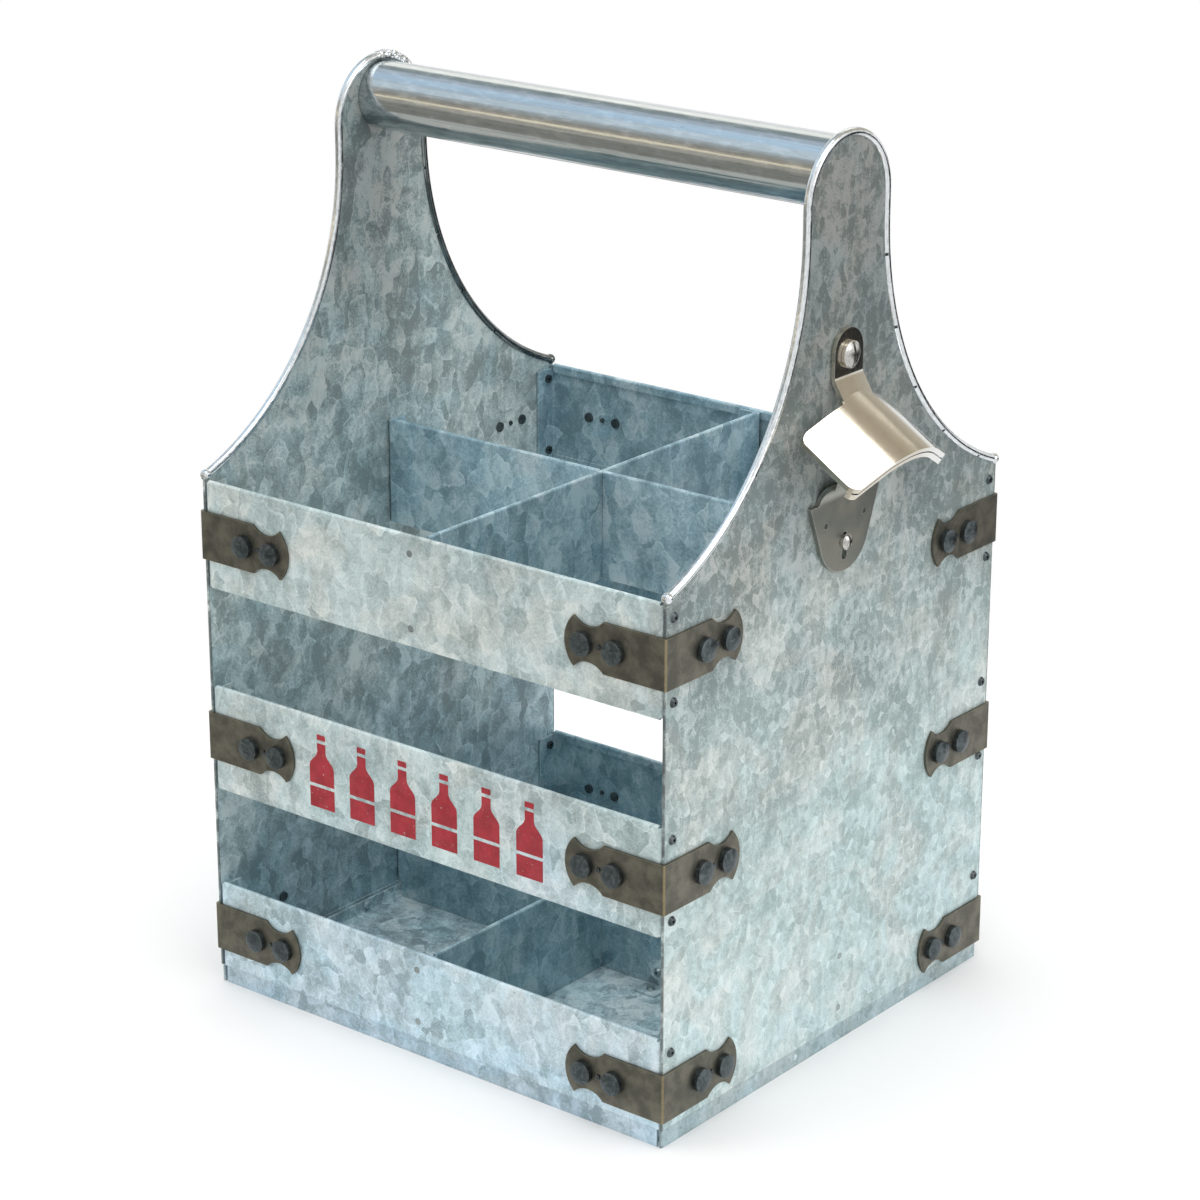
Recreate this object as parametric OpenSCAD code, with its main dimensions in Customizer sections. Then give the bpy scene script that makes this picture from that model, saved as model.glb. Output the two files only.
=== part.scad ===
// Sheet-metal bottle caddy with four bays, a fixed tube handle and a bottle opener on one end.
// Origin: middle of the underside of the floor. X runs along the handle, Y across it, Z is up.

/* [Body] */
// Length of the body along the handle, over the end panels
body_l = 184; // [160:1:210]
// Width of the body across the handle, over the slats
body_w = 172; // [150:1:190]
// Height of one slat
slat_h = 36; // [30:1:40]
// Open height between two slats
slat_gap = 33; // [26:1:40]
// Thickness of the galvanised sheet
sheet_t = 0.8; // [0.6:0.1:1.2]
// Height of the set-in band round the foot of the body
band_h = 6; // [5:0.5:8]
// Depth by which that band is set in
band_set = 0.4; // [0.2:0.1:0.6]

/* [End panels] */
// Rise of the end panels above the top slats
neck_rise = 121.3; // [110:0.1:140]
// Width of an end panel at its neck
neck_w = 40; // [36:1:48]
// Straight length of the neck between the shoulder curve and the round top
neck_straight = 8; // [2:1:14]
// Diameter of the split tube that edges the curved rim
trim_d = 2.6; // [2.4:0.1:3.4]
// Wall of that split tube
trim_wall = 0.5; // [0.4:0.1:0.6]

/* [Handle] */
// Outer diameter of the handle tube
handle_d = 22; // [18:0.5:24]
// Wall of the handle tube
handle_wall = 1.2; // [0.8:0.1:2]

/* [Slats and dividers] */
// Width of the end flanges by which slats are riveted to the end panels
flange_w = 9; // [7:0.5:11]
// Height of the flat hems on slats and dividers
hem_h = 3; // [2.4:0.2:4]
// Outer radius of a sheet bend
bend_r = 1.4; // [1.3:0.1:1.8]
// Height of the upturned edge of the floor pan
pan_edge_h = 5; // [4:0.2:5]
// Width of the end flanges of the dividers
divider_flange_w = 8.5; // [7:0.5:10]

/* [Corner straps] */
// Height of a corner strap
strap_h = 16; // [14:0.5:18]
// Thickness of a corner strap
strap_t = 0.9; // [0.7:0.1:1.2]
// Length of the strap leg on a slat, from the corner
strap_slat_leg = 36.6; // [34:0.2:42]
// Length of the strap leg on an end panel, from the corner
strap_panel_leg = 36; // [33:0.2:40]
// Radius of the round end of a leg
strap_end_r = 11; // [10:0.5:13]
// Radius of the hollow on each side of a leg's neck
strap_hollow_r = 7.5; // [6:0.5:9]
// Depth of that hollow
strap_hollow_depth = 2.5; // [1.5:0.1:3]
// Diameter of a strap rivet's head
rivet_head_d = 7.4; // [6:0.2:8]
// Height of a strap rivet's head
rivet_head_h = 2.4; // [1.8:0.1:3]

/* [Opener] */
// Thickness of the opener's steel
opener_t = 1.5; // [1.2:0.1:2]
// Width of the tab by which the hood is screwed on
tab_w = 14.4; // [13:0.2:16]
// Height of the tab's round top above the floor's underside
tab_top_z = 237; // [234:1:242]
// Height of the fold where the tab turns into the hood
hood_fold_z = 219.5; // [217:0.5:221]
// Slope of the hood below the horizontal, in degrees
hood_slope = 32; // [26:1:36]
// Length of the hood along its slope, without its neck
hood_l = 24.4; // [22:0.2:27]
// Radius of the hood's crown, at its outer face
hood_crown_r = 28.4; // [26:0.2:32]
// Half angle of the crown, in degrees
hood_half_angle = 31; // [28:1:34]
// Width of each flat flank beside the crown
hood_flank_w = 10.9; // [9:0.1:13]
// Thickness of the rim band under the hood's lower edge
hood_rim_t = 1.7; // [1:0.1:2]
// Width of that band
hood_rim_w = 2.6; // [2:0.1:3.2]
// Height of the catch plate's shoulders above the floor's underside
catch_top_z = 184.8; // [182:0.2:187]
// Height of the catch plate from its shoulders to its round foot
catch_h = 23.8; // [22:0.2:26]
// Half width of the catch plate at its shoulders
catch_half_w = 17.8; // [17:0.2:20]
// Radius of the catch plate's round foot
catch_foot_r = 12.6; // [11:0.2:14]
// Half width of the catch lip at its root
lip_half_w = 13.4; // [12:0.2:15]
// Half width of the catch lip at its tip
lip_tip_half_w = 8.4; // [7:0.2:10]
// Inner radius of the catch lip's curl
lip_r = 5.6; // [5:0.2:7]

/* [Hidden] */
$fn = 96;
// Clearance between pieces that lie face to face
seat_gap = 0.05;
// Clearance round rivets, screws and interlocked sheets
hole_gap = 0.1;
// Overrun of every cut
cut = 1;

// Levels of the three rows of slats
body_h = 3 * slat_h + 2 * slat_gap;
slat_z = [0, slat_h + slat_gap, 2 * (slat_h + slat_gap)];

// Outline of an end panel: the shoulder arc is tangent to the neck and ends at the shoulder corner
trim_r = trim_d / 2;
trim_ball_share = 1.35;
trim_ball_r = trim_r * trim_ball_share;
shoulder_z = body_h - sheet_t + trim_ball_r + seat_gap;
arch_r = neck_w / 2;
arch_z = body_h + neck_rise - arch_r;
shoulder_run = body_w / 2 - arch_r;
shoulder_rise = arch_z - neck_straight - shoulder_z;
shoulder_r = (shoulder_run * shoulder_run + shoulder_rise * shoulder_rise) / (2 * shoulder_run);
shoulder_centre_y = arch_r + shoulder_r;
shoulder_centre_z = arch_z - neck_straight;
shoulder_angle = 2 * atan(shoulder_run / shoulder_rise);

// Trim: its ends and the relief nicks along its lips
trim_end_share = 0.8;
trim_end_angle = trim_r * trim_end_share / shoulder_r * 180 / PI;
nick_w = 1;
nick_count = 5;
nick_reach_share = 0.35;

// Handle: as high as it goes under the trim
handle_z = arch_z + arch_r - trim_r - 4 * seat_gap - handle_d / 2;
panel_inner_x = body_l / 2 - sheet_t;
handle_l = 2 * (panel_inner_x - seat_gap);

// Slats
slat_l = 2 * (panel_inner_x - seat_gap);
flange_relief = 1.6;
slat_rivet_edge = 5;
slat_rivet_side = 3.8;

// Small hollow rivets
pop_head_d = 3.2;
pop_head_h = 0.8;
pop_crown_share = 0.7;
pop_tail_share = 0.9;
pop_shank_d = 2;
pop_bore_d = 1;
pop_hole_d = pop_shank_d + 2 * hole_gap;

// Floor pan
pan_half_l = body_l / 2 - band_set - sheet_t - seat_gap;
pan_half_w = body_w / 2 - band_set - sheet_t - seat_gap;
pan_corner = 2.6;
pan_rivet_shares = [-0.55, -0.2, 0.2, 0.55];
pan_rivet_z = (pan_edge_h + bend_r) / 2;

// Dividers
divider_h = slat_h;
lower_divider_h = slat_h - sheet_t - seat_gap;
long_divider_l = 2 * (panel_inner_x - seat_gap);
cross_divider_l = body_w - 2 * (2 * sheet_t + seat_gap);
divider_foot = max(pan_edge_h, band_h);
divider_rivet_edge = 6;
divider_rivet_side = 5.4;
foot_notch_w = 2;
clip_x = 24.5;
clip_w = 8.6;
clip_foot = 8;
clip_ear_h = 6.2;
clip_rivet_y = -sheet_t - clip_foot / 2;

// Straps
rivet_shank_d = 2.6;
rivet_hole_d = rivet_shank_d + 2 * hole_gap;
rivet_tail_d = 3.4;
rivet_tail_h = 0.6;
rivet_dome_share = 0.3;
rivet_from_tip = [6.9, 18.7];
pin_from_tip = 12.8;
pin_d = 1.6;
pin_hole_d = pin_d + 2 * hole_gap;
pin_end_h = 0.4;
hollow_from_tip = 8.9;
// How far the bottom, middle and top strap of each corner sit above the middle of their slats
front_left_shifts = [2.2, 0.7, -0.2];
front_right_shifts = [-1, -1.6, -0.3];
back_left_shifts = [-1, 0.5, 1.3];
back_right_shifts = [-4, -3.3, -0.6];

// Opener
panel_outer_x = body_l / 2;
opener_x = panel_outer_x + seat_gap;
tab_r = tab_w / 2;
tab_screw_drop = 8;
tab_screw_z = tab_top_z - tab_screw_drop;
top_screw_d = 3.6;
low_screw_d = 2.6;
screw_end_share = 0.6;
top_screw_head_d = 8.4;
low_screw_head_d = 5;
screw_head_h = 2.2;
screw_slot_w = 1;
screw_slot_depth = 0.9;
nut_af = 7;
nut_h = 2.4;
top_screw_grip = opener_t + sheet_t + 4 * seat_gap + nut_h * (1 + screw_end_share);
low_screw_grip = opener_t + sheet_t + 2 * seat_gap;
hood_half_w = hood_crown_r * sin(hood_half_angle) + hood_flank_w * cos(hood_half_angle);
hood_neck_l = 5.2;
hood_neck_rise = 3;
hood_corner_r = 3.2;
hood_root_r = 1.5;
hood_foot_r = 5;
hood_foot_share = 0.8;
hood_rim_gap = 0.5;
hood_rim_groove = 1.4;
fold_r = 2;
tab_sag = hood_crown_r - sqrt(hood_crown_r * hood_crown_r - tab_r * tab_r);
neck_drop = hood_neck_rise + hood_neck_l * sin(hood_slope) + tab_sag * cos(hood_slope);
neck_run = hood_neck_l * cos(hood_slope) - tab_sag * sin(hood_slope);
neck_slope = atan2(neck_drop, neck_run);
neck_lap_share = 0.4;
crown_start = hood_neck_l - tab_sag / tan(neck_slope - hood_slope) + seat_gap;
fold_bend = 90 - neck_slope;
fold_reach = fold_r * tan(fold_bend / 2);
fold_centre = [opener_x + opener_t + fold_r, hood_fold_z + hood_neck_rise + fold_reach];
fold_steps = 8;
catch_foot_z = catch_top_z - catch_h;
catch_screw_share = 0.75;
catch_screw_z = catch_foot_z + catch_foot_r * catch_screw_share;
catch_slot_up = 1.6;
catch_slot_down = 4.4;
catch_slot_w = low_screw_d + 2 * hole_gap;
dimple_d = 1.8;
dimple_depth = 0.6;
dimple_side_share = 0.56;
dimple_drop_share = 0.3;
lip_angle = 76;
lip_corner_r = 3;

// Colours
zinc = [0.66, 0.71, 0.71];
zinc_shade = [0.50, 0.58, 0.61];
tube_steel = [0.60, 0.61, 0.59];
bright_steel = [0.82, 0.85, 0.86];
old_brass = [0.30, 0.27, 0.21];
dark_steel = [0.27, 0.30, 0.31];
nickel = [0.66, 0.63, 0.58];

// Placing helpers

// Stands a flat shape up in the Y-Z plane and lets its thickness run along +X
module standing() rotate([90, 0, 90]) children();

// Turns a shape that points along +Z so that it points along +X
module pointing_x() rotate([0, 90, 0]) children();

// Turns a shape that points along +Z so that it points along -Y
module pointing_front() rotate([90, 0, 0]) children();

// Copies a shape made at the right front corner to the corner given by two signs
module at_corner(right, front) {
  mirror([right ? 0 : 1, 0, 0])
    mirror([0, front ? 0 : 1, 0])
      children();
}

module ring(outer_r, inner_r) {
  difference() {
    circle(r = outer_r);
    circle(r = inner_r);
  }
}

// A quarter of a ring, in the quadrant that the two signs give
module quarter_ring(outer_r, inner_r, sx, sy) {
  intersection() {
    ring(outer_r, inner_r);
    translate([sx > 0 ? 0 : -outer_r, sy > 0 ? 0 : -outer_r])
      square(outer_r);
  }
}

// Holes and rivet places

// Height of the middle of slat row i
function row_z(i) = slat_z[i] + slat_h / 2;

// Height of the middle of a strap
function strap_z(right, front, i) = row_z(i) + (
  front
    ? (right ? front_right_shifts : front_left_shifts)
    : (right ? back_right_shifts : back_left_shifts)
)[i];

// Distances of a strap's rivets from the corner, for a leg of a given length
function strap_rivets(leg) = [for (d = rivet_from_tip) leg - d];

module hole_x(d) {
  translate([-body_l / 2 - cut, 0, 0])
    pointing_x() cylinder(d = d, h = body_l + 2 * cut);
}

// Drills along +Z for the two rivets and the pin of a strap leg, placed by their distance from
// the corner along +X
module strap_drills(leg, depth) {
  for (reach = strap_rivets(leg)) {
    translate([reach, 0, 0])
      cylinder(d = rivet_hole_d, h = depth);
  }
  translate([leg - pin_from_tip, 0, 0])
    cylinder(d = pin_hole_d, h = depth);
}

// Strap holes through the right or the left end panel
module panel_strap_holes(right) {
  for (i = [0:2]) {
    for (front = [true, false]) {
      at_corner(right, front)
        translate([0, -body_w / 2 - seat_gap, strap_z(right, front, i)])
          standing() strap_drills(strap_panel_leg, body_l);
    }
  }
}

// Strap holes through the front or the back slat of row i
module slat_strap_holes(i, front) {
  for (right = [true, false]) {
    at_corner(right, front)
      translate([body_l / 2 + seat_gap, 0, strap_z(right, front, i)])
        pointing_front() mirror([1, 0, 0]) strap_drills(strap_slat_leg, body_w);
  }
}

// Heights of the two flange rivets of slat row i
function slat_rivet_zs(i) = [
  slat_z[i] + slat_rivet_edge + (i == 0 ? band_h : 0),
  slat_z[i] + slat_h - slat_rivet_edge
];

module slat_flange_holes() {
  for (i = [0:2]) {
    for (z = slat_rivet_zs(i)) {
      for (s = [-1, 1]) {
        translate([0, s * (body_w / 2 - slat_rivet_side), z])
          hole_x(pop_hole_d);
      }
    }
  }
}

// Heights of a divider's end rivets: row 0 is the lower divider, row 2 the upper one
function divider_rivet_zs(i) = [
  slat_z[i] + divider_rivet_edge + (i == 0 ? band_h : 0),
  slat_z[i] + slat_h - divider_rivet_edge
];

module long_divider_holes() {
  for (i = [0, 2]) {
    for (z = divider_rivet_zs(i)) {
      translate([0, divider_rivet_side, z])
        hole_x(pop_hole_d);
    }
  }
}

module cross_divider_holes() {
  for (i = [0, 2]) {
    for (z = divider_rivet_zs(i)) {
      translate([-divider_rivet_side, body_w / 2 + cut, z])
        pointing_front() cylinder(d = pop_hole_d, h = body_w + 2 * cut);
    }
  }
}

// End panels

module panel_outline() {
  difference() {
    union() {
      translate([-body_w / 2, band_h])
        square([body_w, shoulder_z - band_h]);
      translate([-body_w / 2, shoulder_z - seat_gap])
        square([body_w, shoulder_rise + seat_gap]);
      translate([-arch_r, shoulder_z])
        square([neck_w, arch_z - shoulder_z]);
      translate([0, arch_z])
        circle(r = arch_r);
    }
    for (s = [-1, 1]) {
      translate([s * shoulder_centre_y, shoulder_centre_z])
        circle(r = shoulder_r);
    }
  }
}

module end_panel() {
  translate([body_l / 2 - sheet_t, 0, 0])
    standing() linear_extrude(height = sheet_t) panel_outline();
  translate([body_l / 2 - sheet_t - band_set, -body_w / 2 + band_set, 0])
    cube([sheet_t, body_w - 2 * band_set, band_h]);
}

module left_end_panel() {
  color(zinc)
    difference() {
      mirror([1, 0, 0]) end_panel();
      panel_strap_holes(false);
      slat_flange_holes();
      long_divider_holes();
    }
}

module right_end_panel() {
  color(zinc)
    difference() {
      end_panel();
      panel_strap_holes(true);
      slat_flange_holes();
      long_divider_holes();
      translate([0, 0, tab_screw_z])
        pointing_x() cylinder(d = top_screw_d + 2 * hole_gap, h = body_l);
      translate([0, 0, catch_screw_z])
        pointing_x() cylinder(d = low_screw_d + 2 * hole_gap, h = body_l);
    }
}

// Edge trim: a split tube swept along the rim in arcs and straights

// Section of the split tube. The slot that takes the sheet points along +X of the section.
module trim_section() {
  difference() {
    ring(trim_r, trim_r - trim_wall);
    translate([0, -sheet_t / 2 - seat_gap])
      square([trim_d, sheet_t + 2 * seat_gap]);
  }
}

module trim_shoulder() {
  // starts at the neck and sweeps down to the shoulder corner
  translate([0, shoulder_centre_y, shoulder_centre_z])
    standing()
      rotate([0, 0, 180])
        rotate_extrude(angle = shoulder_angle - trim_end_angle)
          translate([shoulder_r, 0]) trim_section();
}

module trim_end_ball() {
  a = 180 + shoulder_angle - trim_end_angle;
  translate([
    0,
    shoulder_centre_y + shoulder_r * cos(a),
    shoulder_centre_z + shoulder_r * sin(a)
  ])
    difference() {
      sphere(r = trim_ball_r);
      // the ball is cut for the sheet below it and for the tube beside it
      rotate([a, 0, 0]) {
        translate([-sheet_t / 2 - seat_gap, 0, -trim_d])
          cube([sheet_t + 2 * seat_gap, trim_d, 2 * trim_d]);
      }
    }
}

module edge_trim() {
  translate([body_l / 2 - sheet_t / 2, 0, 0]) {
    difference() {
      union() {
        for (m = [0, 1]) {
          mirror([0, m, 0]) {
            trim_shoulder();
            trim_end_ball();
            translate([0, arch_r, arch_z])
              mirror([0, 0, 1])
                rotate([0, 0, -90])
                  linear_extrude(height = neck_straight) trim_section();
          }
        }
        translate([0, 0, arch_z])
          standing()
            rotate_extrude(angle = 180)
              translate([arch_r, 0]) mirror([1, 0]) trim_section();
      }
      trim_nicks();
    }
  }
}

// Relief nicks across both lips of the trim, evenly spaced down each shoulder
module trim_nicks() {
  for (m = [0, 1]) {
    mirror([0, m, 0]) {
      for (k = [0:nick_count - 1]) {
        a = 180 + shoulder_angle * (k + 0.5) / nick_count;
        translate([
          -trim_d,
          shoulder_centre_y + (shoulder_r + trim_r * nick_reach_share) * cos(a),
          shoulder_centre_z + (shoulder_r + trim_r * nick_reach_share) * sin(a)
        ])
          rotate([a, 0, 0])
            translate([0, 0, -nick_w / 2])
              cube([2 * trim_d, trim_d, nick_w]);
      }
    }
  }
}

module left_edge_trim() color(bright_steel) mirror([1, 0, 0]) edge_trim();

module right_edge_trim() color(bright_steel) edge_trim();

// Handle

module handle_tube() {
  color(tube_steel)
    translate([-handle_l / 2, 0, handle_z])
      pointing_x()
        difference() {
          cylinder(d = handle_d, h = handle_l);
          translate([0, 0, -cut])
            cylinder(d = handle_d - 2 * handle_wall, h = handle_l + 2 * cut);
        }
}

// Slats. Each is made at the front and mirrored for the back.

// Plan of a slat: the web, and at each end a bend and a flange that lies inside the end panel
module slat_plan() {
  translate([-slat_l / 2 + bend_r, -body_w / 2])
    square([slat_l - 2 * bend_r, sheet_t]);
  for (m = [0, 1]) {
    mirror([m, 0]) {
      translate([slat_l / 2 - bend_r, -body_w / 2 + bend_r])
        quarter_ring(bend_r, bend_r - sheet_t, 1, -1);
      translate([slat_l / 2 - sheet_t, -body_w / 2 + bend_r])
        square([sheet_t, flange_w - bend_r]);
    }
  }
}

// Upright section of a slat's edges in Y-Z: flat hems folded to the inside, or the set-in band,
// which laps the web by the thickness of the sheet
module slat_edge_section(low_hem) {
  translate([-body_w / 2 + sheet_t, slat_h - sheet_t])
    circle(r = sheet_t);
  translate([-body_w / 2 + sheet_t / 2, slat_h - hem_h])
    square([1.5 * sheet_t, hem_h - sheet_t]);
  if (low_hem) {
    translate([-body_w / 2 + sheet_t, sheet_t])
      circle(r = sheet_t);
    translate([-body_w / 2 + sheet_t / 2, sheet_t])
      square([1.5 * sheet_t, hem_h - sheet_t]);
  } else {
    translate([-body_w / 2 + band_set, 0])
      square([sheet_t, band_h + sheet_t]);
  }
}

// Cuts the corners off the end flanges, at the foot and at the top of a slat
module flange_reliefs(low) {
  for (m = [0, 1]) {
    mirror([m, 0, 0]) {
      translate([slat_l / 2 - flange_w, -body_w / 2 + bend_r, low - cut])
        cube([2 * flange_w, 2 * flange_w, flange_relief + cut]);
      translate([slat_l / 2 - flange_w, -body_w / 2 + bend_r, slat_h - flange_relief])
        cube([2 * flange_w, 2 * flange_w, flange_relief]);
    }
  }
}

// Front slat of row i, before it is drilled
module slat_blank(i) {
  low = (i == 0) ? band_h : 0;
  foot = (i == 0) ? band_h : sheet_t;
  translate([0, 0, slat_z[i]]) {
    difference() {
      translate([0, 0, foot])
        linear_extrude(height = slat_h - foot - sheet_t) slat_plan();
      flange_reliefs(low);
    }
    translate([-slat_l / 2 + bend_r, 0, 0])
      standing() linear_extrude(height = slat_l - 2 * bend_r) slat_edge_section(i > 0);
  }
}

module slat(i, front) {
  difference() {
    mirror([0, front ? 0 : 1, 0]) slat_blank(i);
    slat_strap_holes(i, front);
    slat_flange_holes();
    cross_divider_holes();
  }
}

module front_top_slat() color(zinc) slat(2, true);

module front_middle_slat() color(zinc) slat(1, true);

module front_bottom_slat() color(zinc) slat(0, true);

module back_top_slat() color(zinc_shade) slat(2, false);

module back_middle_slat() color(zinc_shade) slat(1, false);

module back_bottom_slat() color(zinc_shade) slat(0, false);

// Floor pan

// Section of the pan across one direction: a flat floor with an upturned edge on each side
module pan_section(half_w) {
  translate([-half_w + bend_r, 0])
    square([2 * (half_w - bend_r), sheet_t]);
  for (s = [-1, 1]) {
    translate([s * (half_w - bend_r), bend_r])
      quarter_ring(bend_r, bend_r - sheet_t, s, -1);
    translate([s > 0 ? half_w - sheet_t : -half_w, bend_r])
      square([sheet_t, pan_edge_h - bend_r]);
  }
}

module floor_pan() {
  color(zinc_shade)
    difference() {
      union() {
        translate([-pan_half_l + pan_corner, 0, 0])
          standing()
            linear_extrude(height = 2 * (pan_half_l - pan_corner)) pan_section(pan_half_w);
        translate([0, pan_half_w - pan_corner, 0])
          pointing_front()
            linear_extrude(height = 2 * (pan_half_w - pan_corner)) pan_section(pan_half_l);
      }
      floor_rivet_holes();
      translate([clip_x, clip_rivet_y, -cut])
        cylinder(d = pop_hole_d, h = sheet_t + 2 * cut);
    }
}

module floor_rivet_holes() {
  for (share = pan_rivet_shares) {
    translate([0, share * body_w / 2, pan_rivet_z])
      hole_x(pop_hole_d);
  }
}

// Dividers. A divider is a hemmed web with a bent flange at each end; two interlock at mid height.

// Plan of a divider: the web, and at each end a bend and a flange towards +Y
module divider_plan(l) {
  translate([-l / 2 + bend_r, -sheet_t / 2])
    square([l - 2 * bend_r, sheet_t]);
  for (m = [0, 1]) {
    mirror([m, 0]) {
      translate([l / 2 - bend_r, bend_r - sheet_t / 2])
        quarter_ring(bend_r, bend_r - sheet_t, 1, -1);
      translate([l / 2 - sheet_t, bend_r - sheet_t / 2])
        square([sheet_t, divider_flange_w - bend_r]);
    }
  }
}

// Upright section of the hem, folded to the +Y side
module divider_hem_section(h) {
  translate([sheet_t / 2, h - sheet_t])
    circle(r = sheet_t);
  translate([0, h - hem_h])
    square([1.5 * sheet_t, hem_h - sheet_t]);
}

// The divider runs along X. slot_up cuts its slot from the top edge, wide enough for the hem
// of the divider that crosses it. Otherwise the slot is cut from the foot, and foot is the
// height to which both ends are notched, to clear the pan's upturned edge.
module divider(l, h, slot_up, foot) {
  difference() {
    union() {
      linear_extrude(height = h - sheet_t) divider_plan(l);
      translate([-l / 2 + bend_r, 0, 0])
        standing() linear_extrude(height = l - 2 * bend_r) divider_hem_section(h);
    }
    if (slot_up) {
      translate([-1.5 * sheet_t - hole_gap, -2 * sheet_t, h / 2])
        cube([2 * (sheet_t + hole_gap), 4 * sheet_t, h]);
    } else {
      translate([-sheet_t / 2 - hole_gap, -2 * sheet_t, -cut])
        cube([sheet_t + 2 * hole_gap, 4 * sheet_t, h / 2 + cut]);
    }
    if (foot > 0) {
      for (m = [0, 1]) {
        mirror([m, 0, 0])
          translate([l / 2 - foot_notch_w, -divider_flange_w, -cut])
            cube([foot_notch_w + cut, 2 * divider_flange_w, foot + cut]);
      }
    }
  }
}

module upper_long_divider() {
  color(zinc_shade)
    difference() {
      translate([0, 0, slat_z[2]])
        divider(long_divider_l, divider_h, true, 0);
      long_divider_holes();
    }
}

module upper_cross_divider() {
  color(zinc_shade)
    difference() {
      translate([0, 0, slat_z[2]])
        rotate([0, 0, 90]) divider(cross_divider_l, divider_h, false, 0);
      cross_divider_holes();
    }
}

module lower_long_divider() {
  color(zinc_shade)
    difference() {
      translate([0, 0, sheet_t + seat_gap])
        divider(long_divider_l, lower_divider_h, true, divider_foot);
      long_divider_holes();
      translate([clip_x, 0, clip_ear_h])
        pointing_front()
          cylinder(d = pop_hole_d, h = 4 * sheet_t, center = true);
    }
}

module lower_cross_divider() {
  color(zinc_shade)
    difference() {
      translate([0, 0, sheet_t + seat_gap])
        rotate([0, 0, 90])
          divider(cross_divider_l, lower_divider_h, false, divider_foot);
      cross_divider_holes();
    }
}

// Angle clip that ties the lower long divider to the floor
module divider_foot_clip() {
  z0 = sheet_t + seat_gap;
  y0 = -sheet_t / 2 - seat_gap;
  color(zinc)
    difference() {
      union() {
        translate([clip_x - clip_w / 2, y0 - clip_foot, z0])
          cube([clip_w, clip_foot, sheet_t]);
        translate([clip_x - clip_w / 2, y0 - sheet_t, z0])
          cube([clip_w, sheet_t, clip_ear_h - z0]);
        translate([clip_x, y0, clip_ear_h])
          pointing_front() cylinder(d = clip_w, h = sheet_t);
      }
      translate([clip_x, 0, clip_ear_h])
        pointing_front() cylinder(d = pop_hole_d, h = clip_foot);
      translate([clip_x, clip_rivet_y, 0])
        cylinder(d = pop_hole_d, h = clip_foot);
      translate([clip_x - clip_w / 2 - cut, y0 - clip_foot - cut, -cut])
        cube([clip_w + 2 * cut, clip_foot, z0 + cut]);
    }
}

// Corner straps

// Face of one strap leg, from the corner at x = 0 to its fishtail end
module strap_leg_face(leg) {
  difference() {
    intersection() {
      translate([0, -strap_h / 2])
        square([leg, strap_h]);
      union() {
        translate([leg - strap_end_r, 0])
          circle(r = strap_end_r);
        translate([0, -strap_h / 2])
          square([leg - strap_end_r, strap_h]);
      }
    }
    for (s = [-1, 1]) {
      translate([
        leg - hollow_from_tip,
        s * (strap_h / 2 + strap_hollow_r - strap_hollow_depth)
      ])
        circle(r = strap_hollow_r);
    }
    for (reach = strap_rivets(leg)) {
      translate([reach, 0])
        circle(d = rivet_hole_d);
    }
    translate([leg - pin_from_tip, 0])
      circle(d = pin_hole_d);
  }
}

// Strap at the right front corner, around height z
module corner_strap(z) {
  translate([body_l / 2 + seat_gap, -body_w / 2 - seat_gap, z]) {
    rotate([90, 0, 0])
      linear_extrude(height = strap_t)
        mirror([1, 0]) strap_leg_face(strap_slat_leg);
    rotate([90, 0, 90])
      linear_extrude(height = strap_t) strap_leg_face(strap_panel_leg);
    translate([0, 0, -strap_h / 2])
      linear_extrude(height = strap_h)
        quarter_ring(strap_t, 0, 1, -1);
  }
}

module placed_strap(right, front, i) {
  color(old_brass)
    at_corner(right, front) corner_strap(strap_z(right, front, i));
}

module strap_front_left_top() placed_strap(false, true, 2);

module strap_front_left_middle() placed_strap(false, true, 1);

module strap_front_left_bottom() placed_strap(false, true, 0);

module strap_front_right_top() placed_strap(true, true, 2);

module strap_front_right_middle() placed_strap(true, true, 1);

module strap_front_right_bottom() placed_strap(true, true, 0);

module strap_back_left_top() placed_strap(false, false, 2);

module strap_back_left_middle() placed_strap(false, false, 1);

module strap_back_left_bottom() placed_strap(false, false, 0);

module strap_back_right_top() placed_strap(true, false, 2);

module strap_back_right_middle() placed_strap(true, false, 1);

module strap_back_right_bottom() placed_strap(true, false, 0);

// Rivets

// Domed strap rivet along +Z: its head sits on z = 0 and its tail is upset below the sheet
module strap_rivet() {
  grip = strap_t + seat_gap + sheet_t + 2 * seat_gap;
  rim_h = rivet_head_h * rivet_dome_share;
  dome_r = (rivet_head_d * rivet_head_d / 4 + rim_h * rim_h) / (2 * rim_h);
  intersection() {
    cylinder(d = rivet_head_d, h = rivet_head_h);
    translate([0, 0, rivet_head_h - dome_r])
      sphere(r = dome_r);
  }
  translate([0, 0, -grip - rivet_tail_h]) {
    cylinder(d = rivet_shank_d, h = grip + rivet_tail_h);
    cylinder(d = rivet_tail_d, h = rivet_tail_h);
  }
}

// Small pin along +Z between the two rivets, through the strap and the sheet
module strap_pin() {
  grip = strap_t + seat_gap + sheet_t + 2 * seat_gap;
  translate([0, 0, -grip - pin_end_h])
    cylinder(d = pin_d, h = grip + 2 * pin_end_h);
}

// The rivets and the pin of one leg, placed by their distance from the corner along +X
module leg_rivets(leg) {
  for (reach = strap_rivets(leg)) {
    translate([reach, 0, 0])
      strap_rivet();
  }
  translate([leg - pin_from_tip, 0, 0])
    strap_pin();
}

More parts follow.
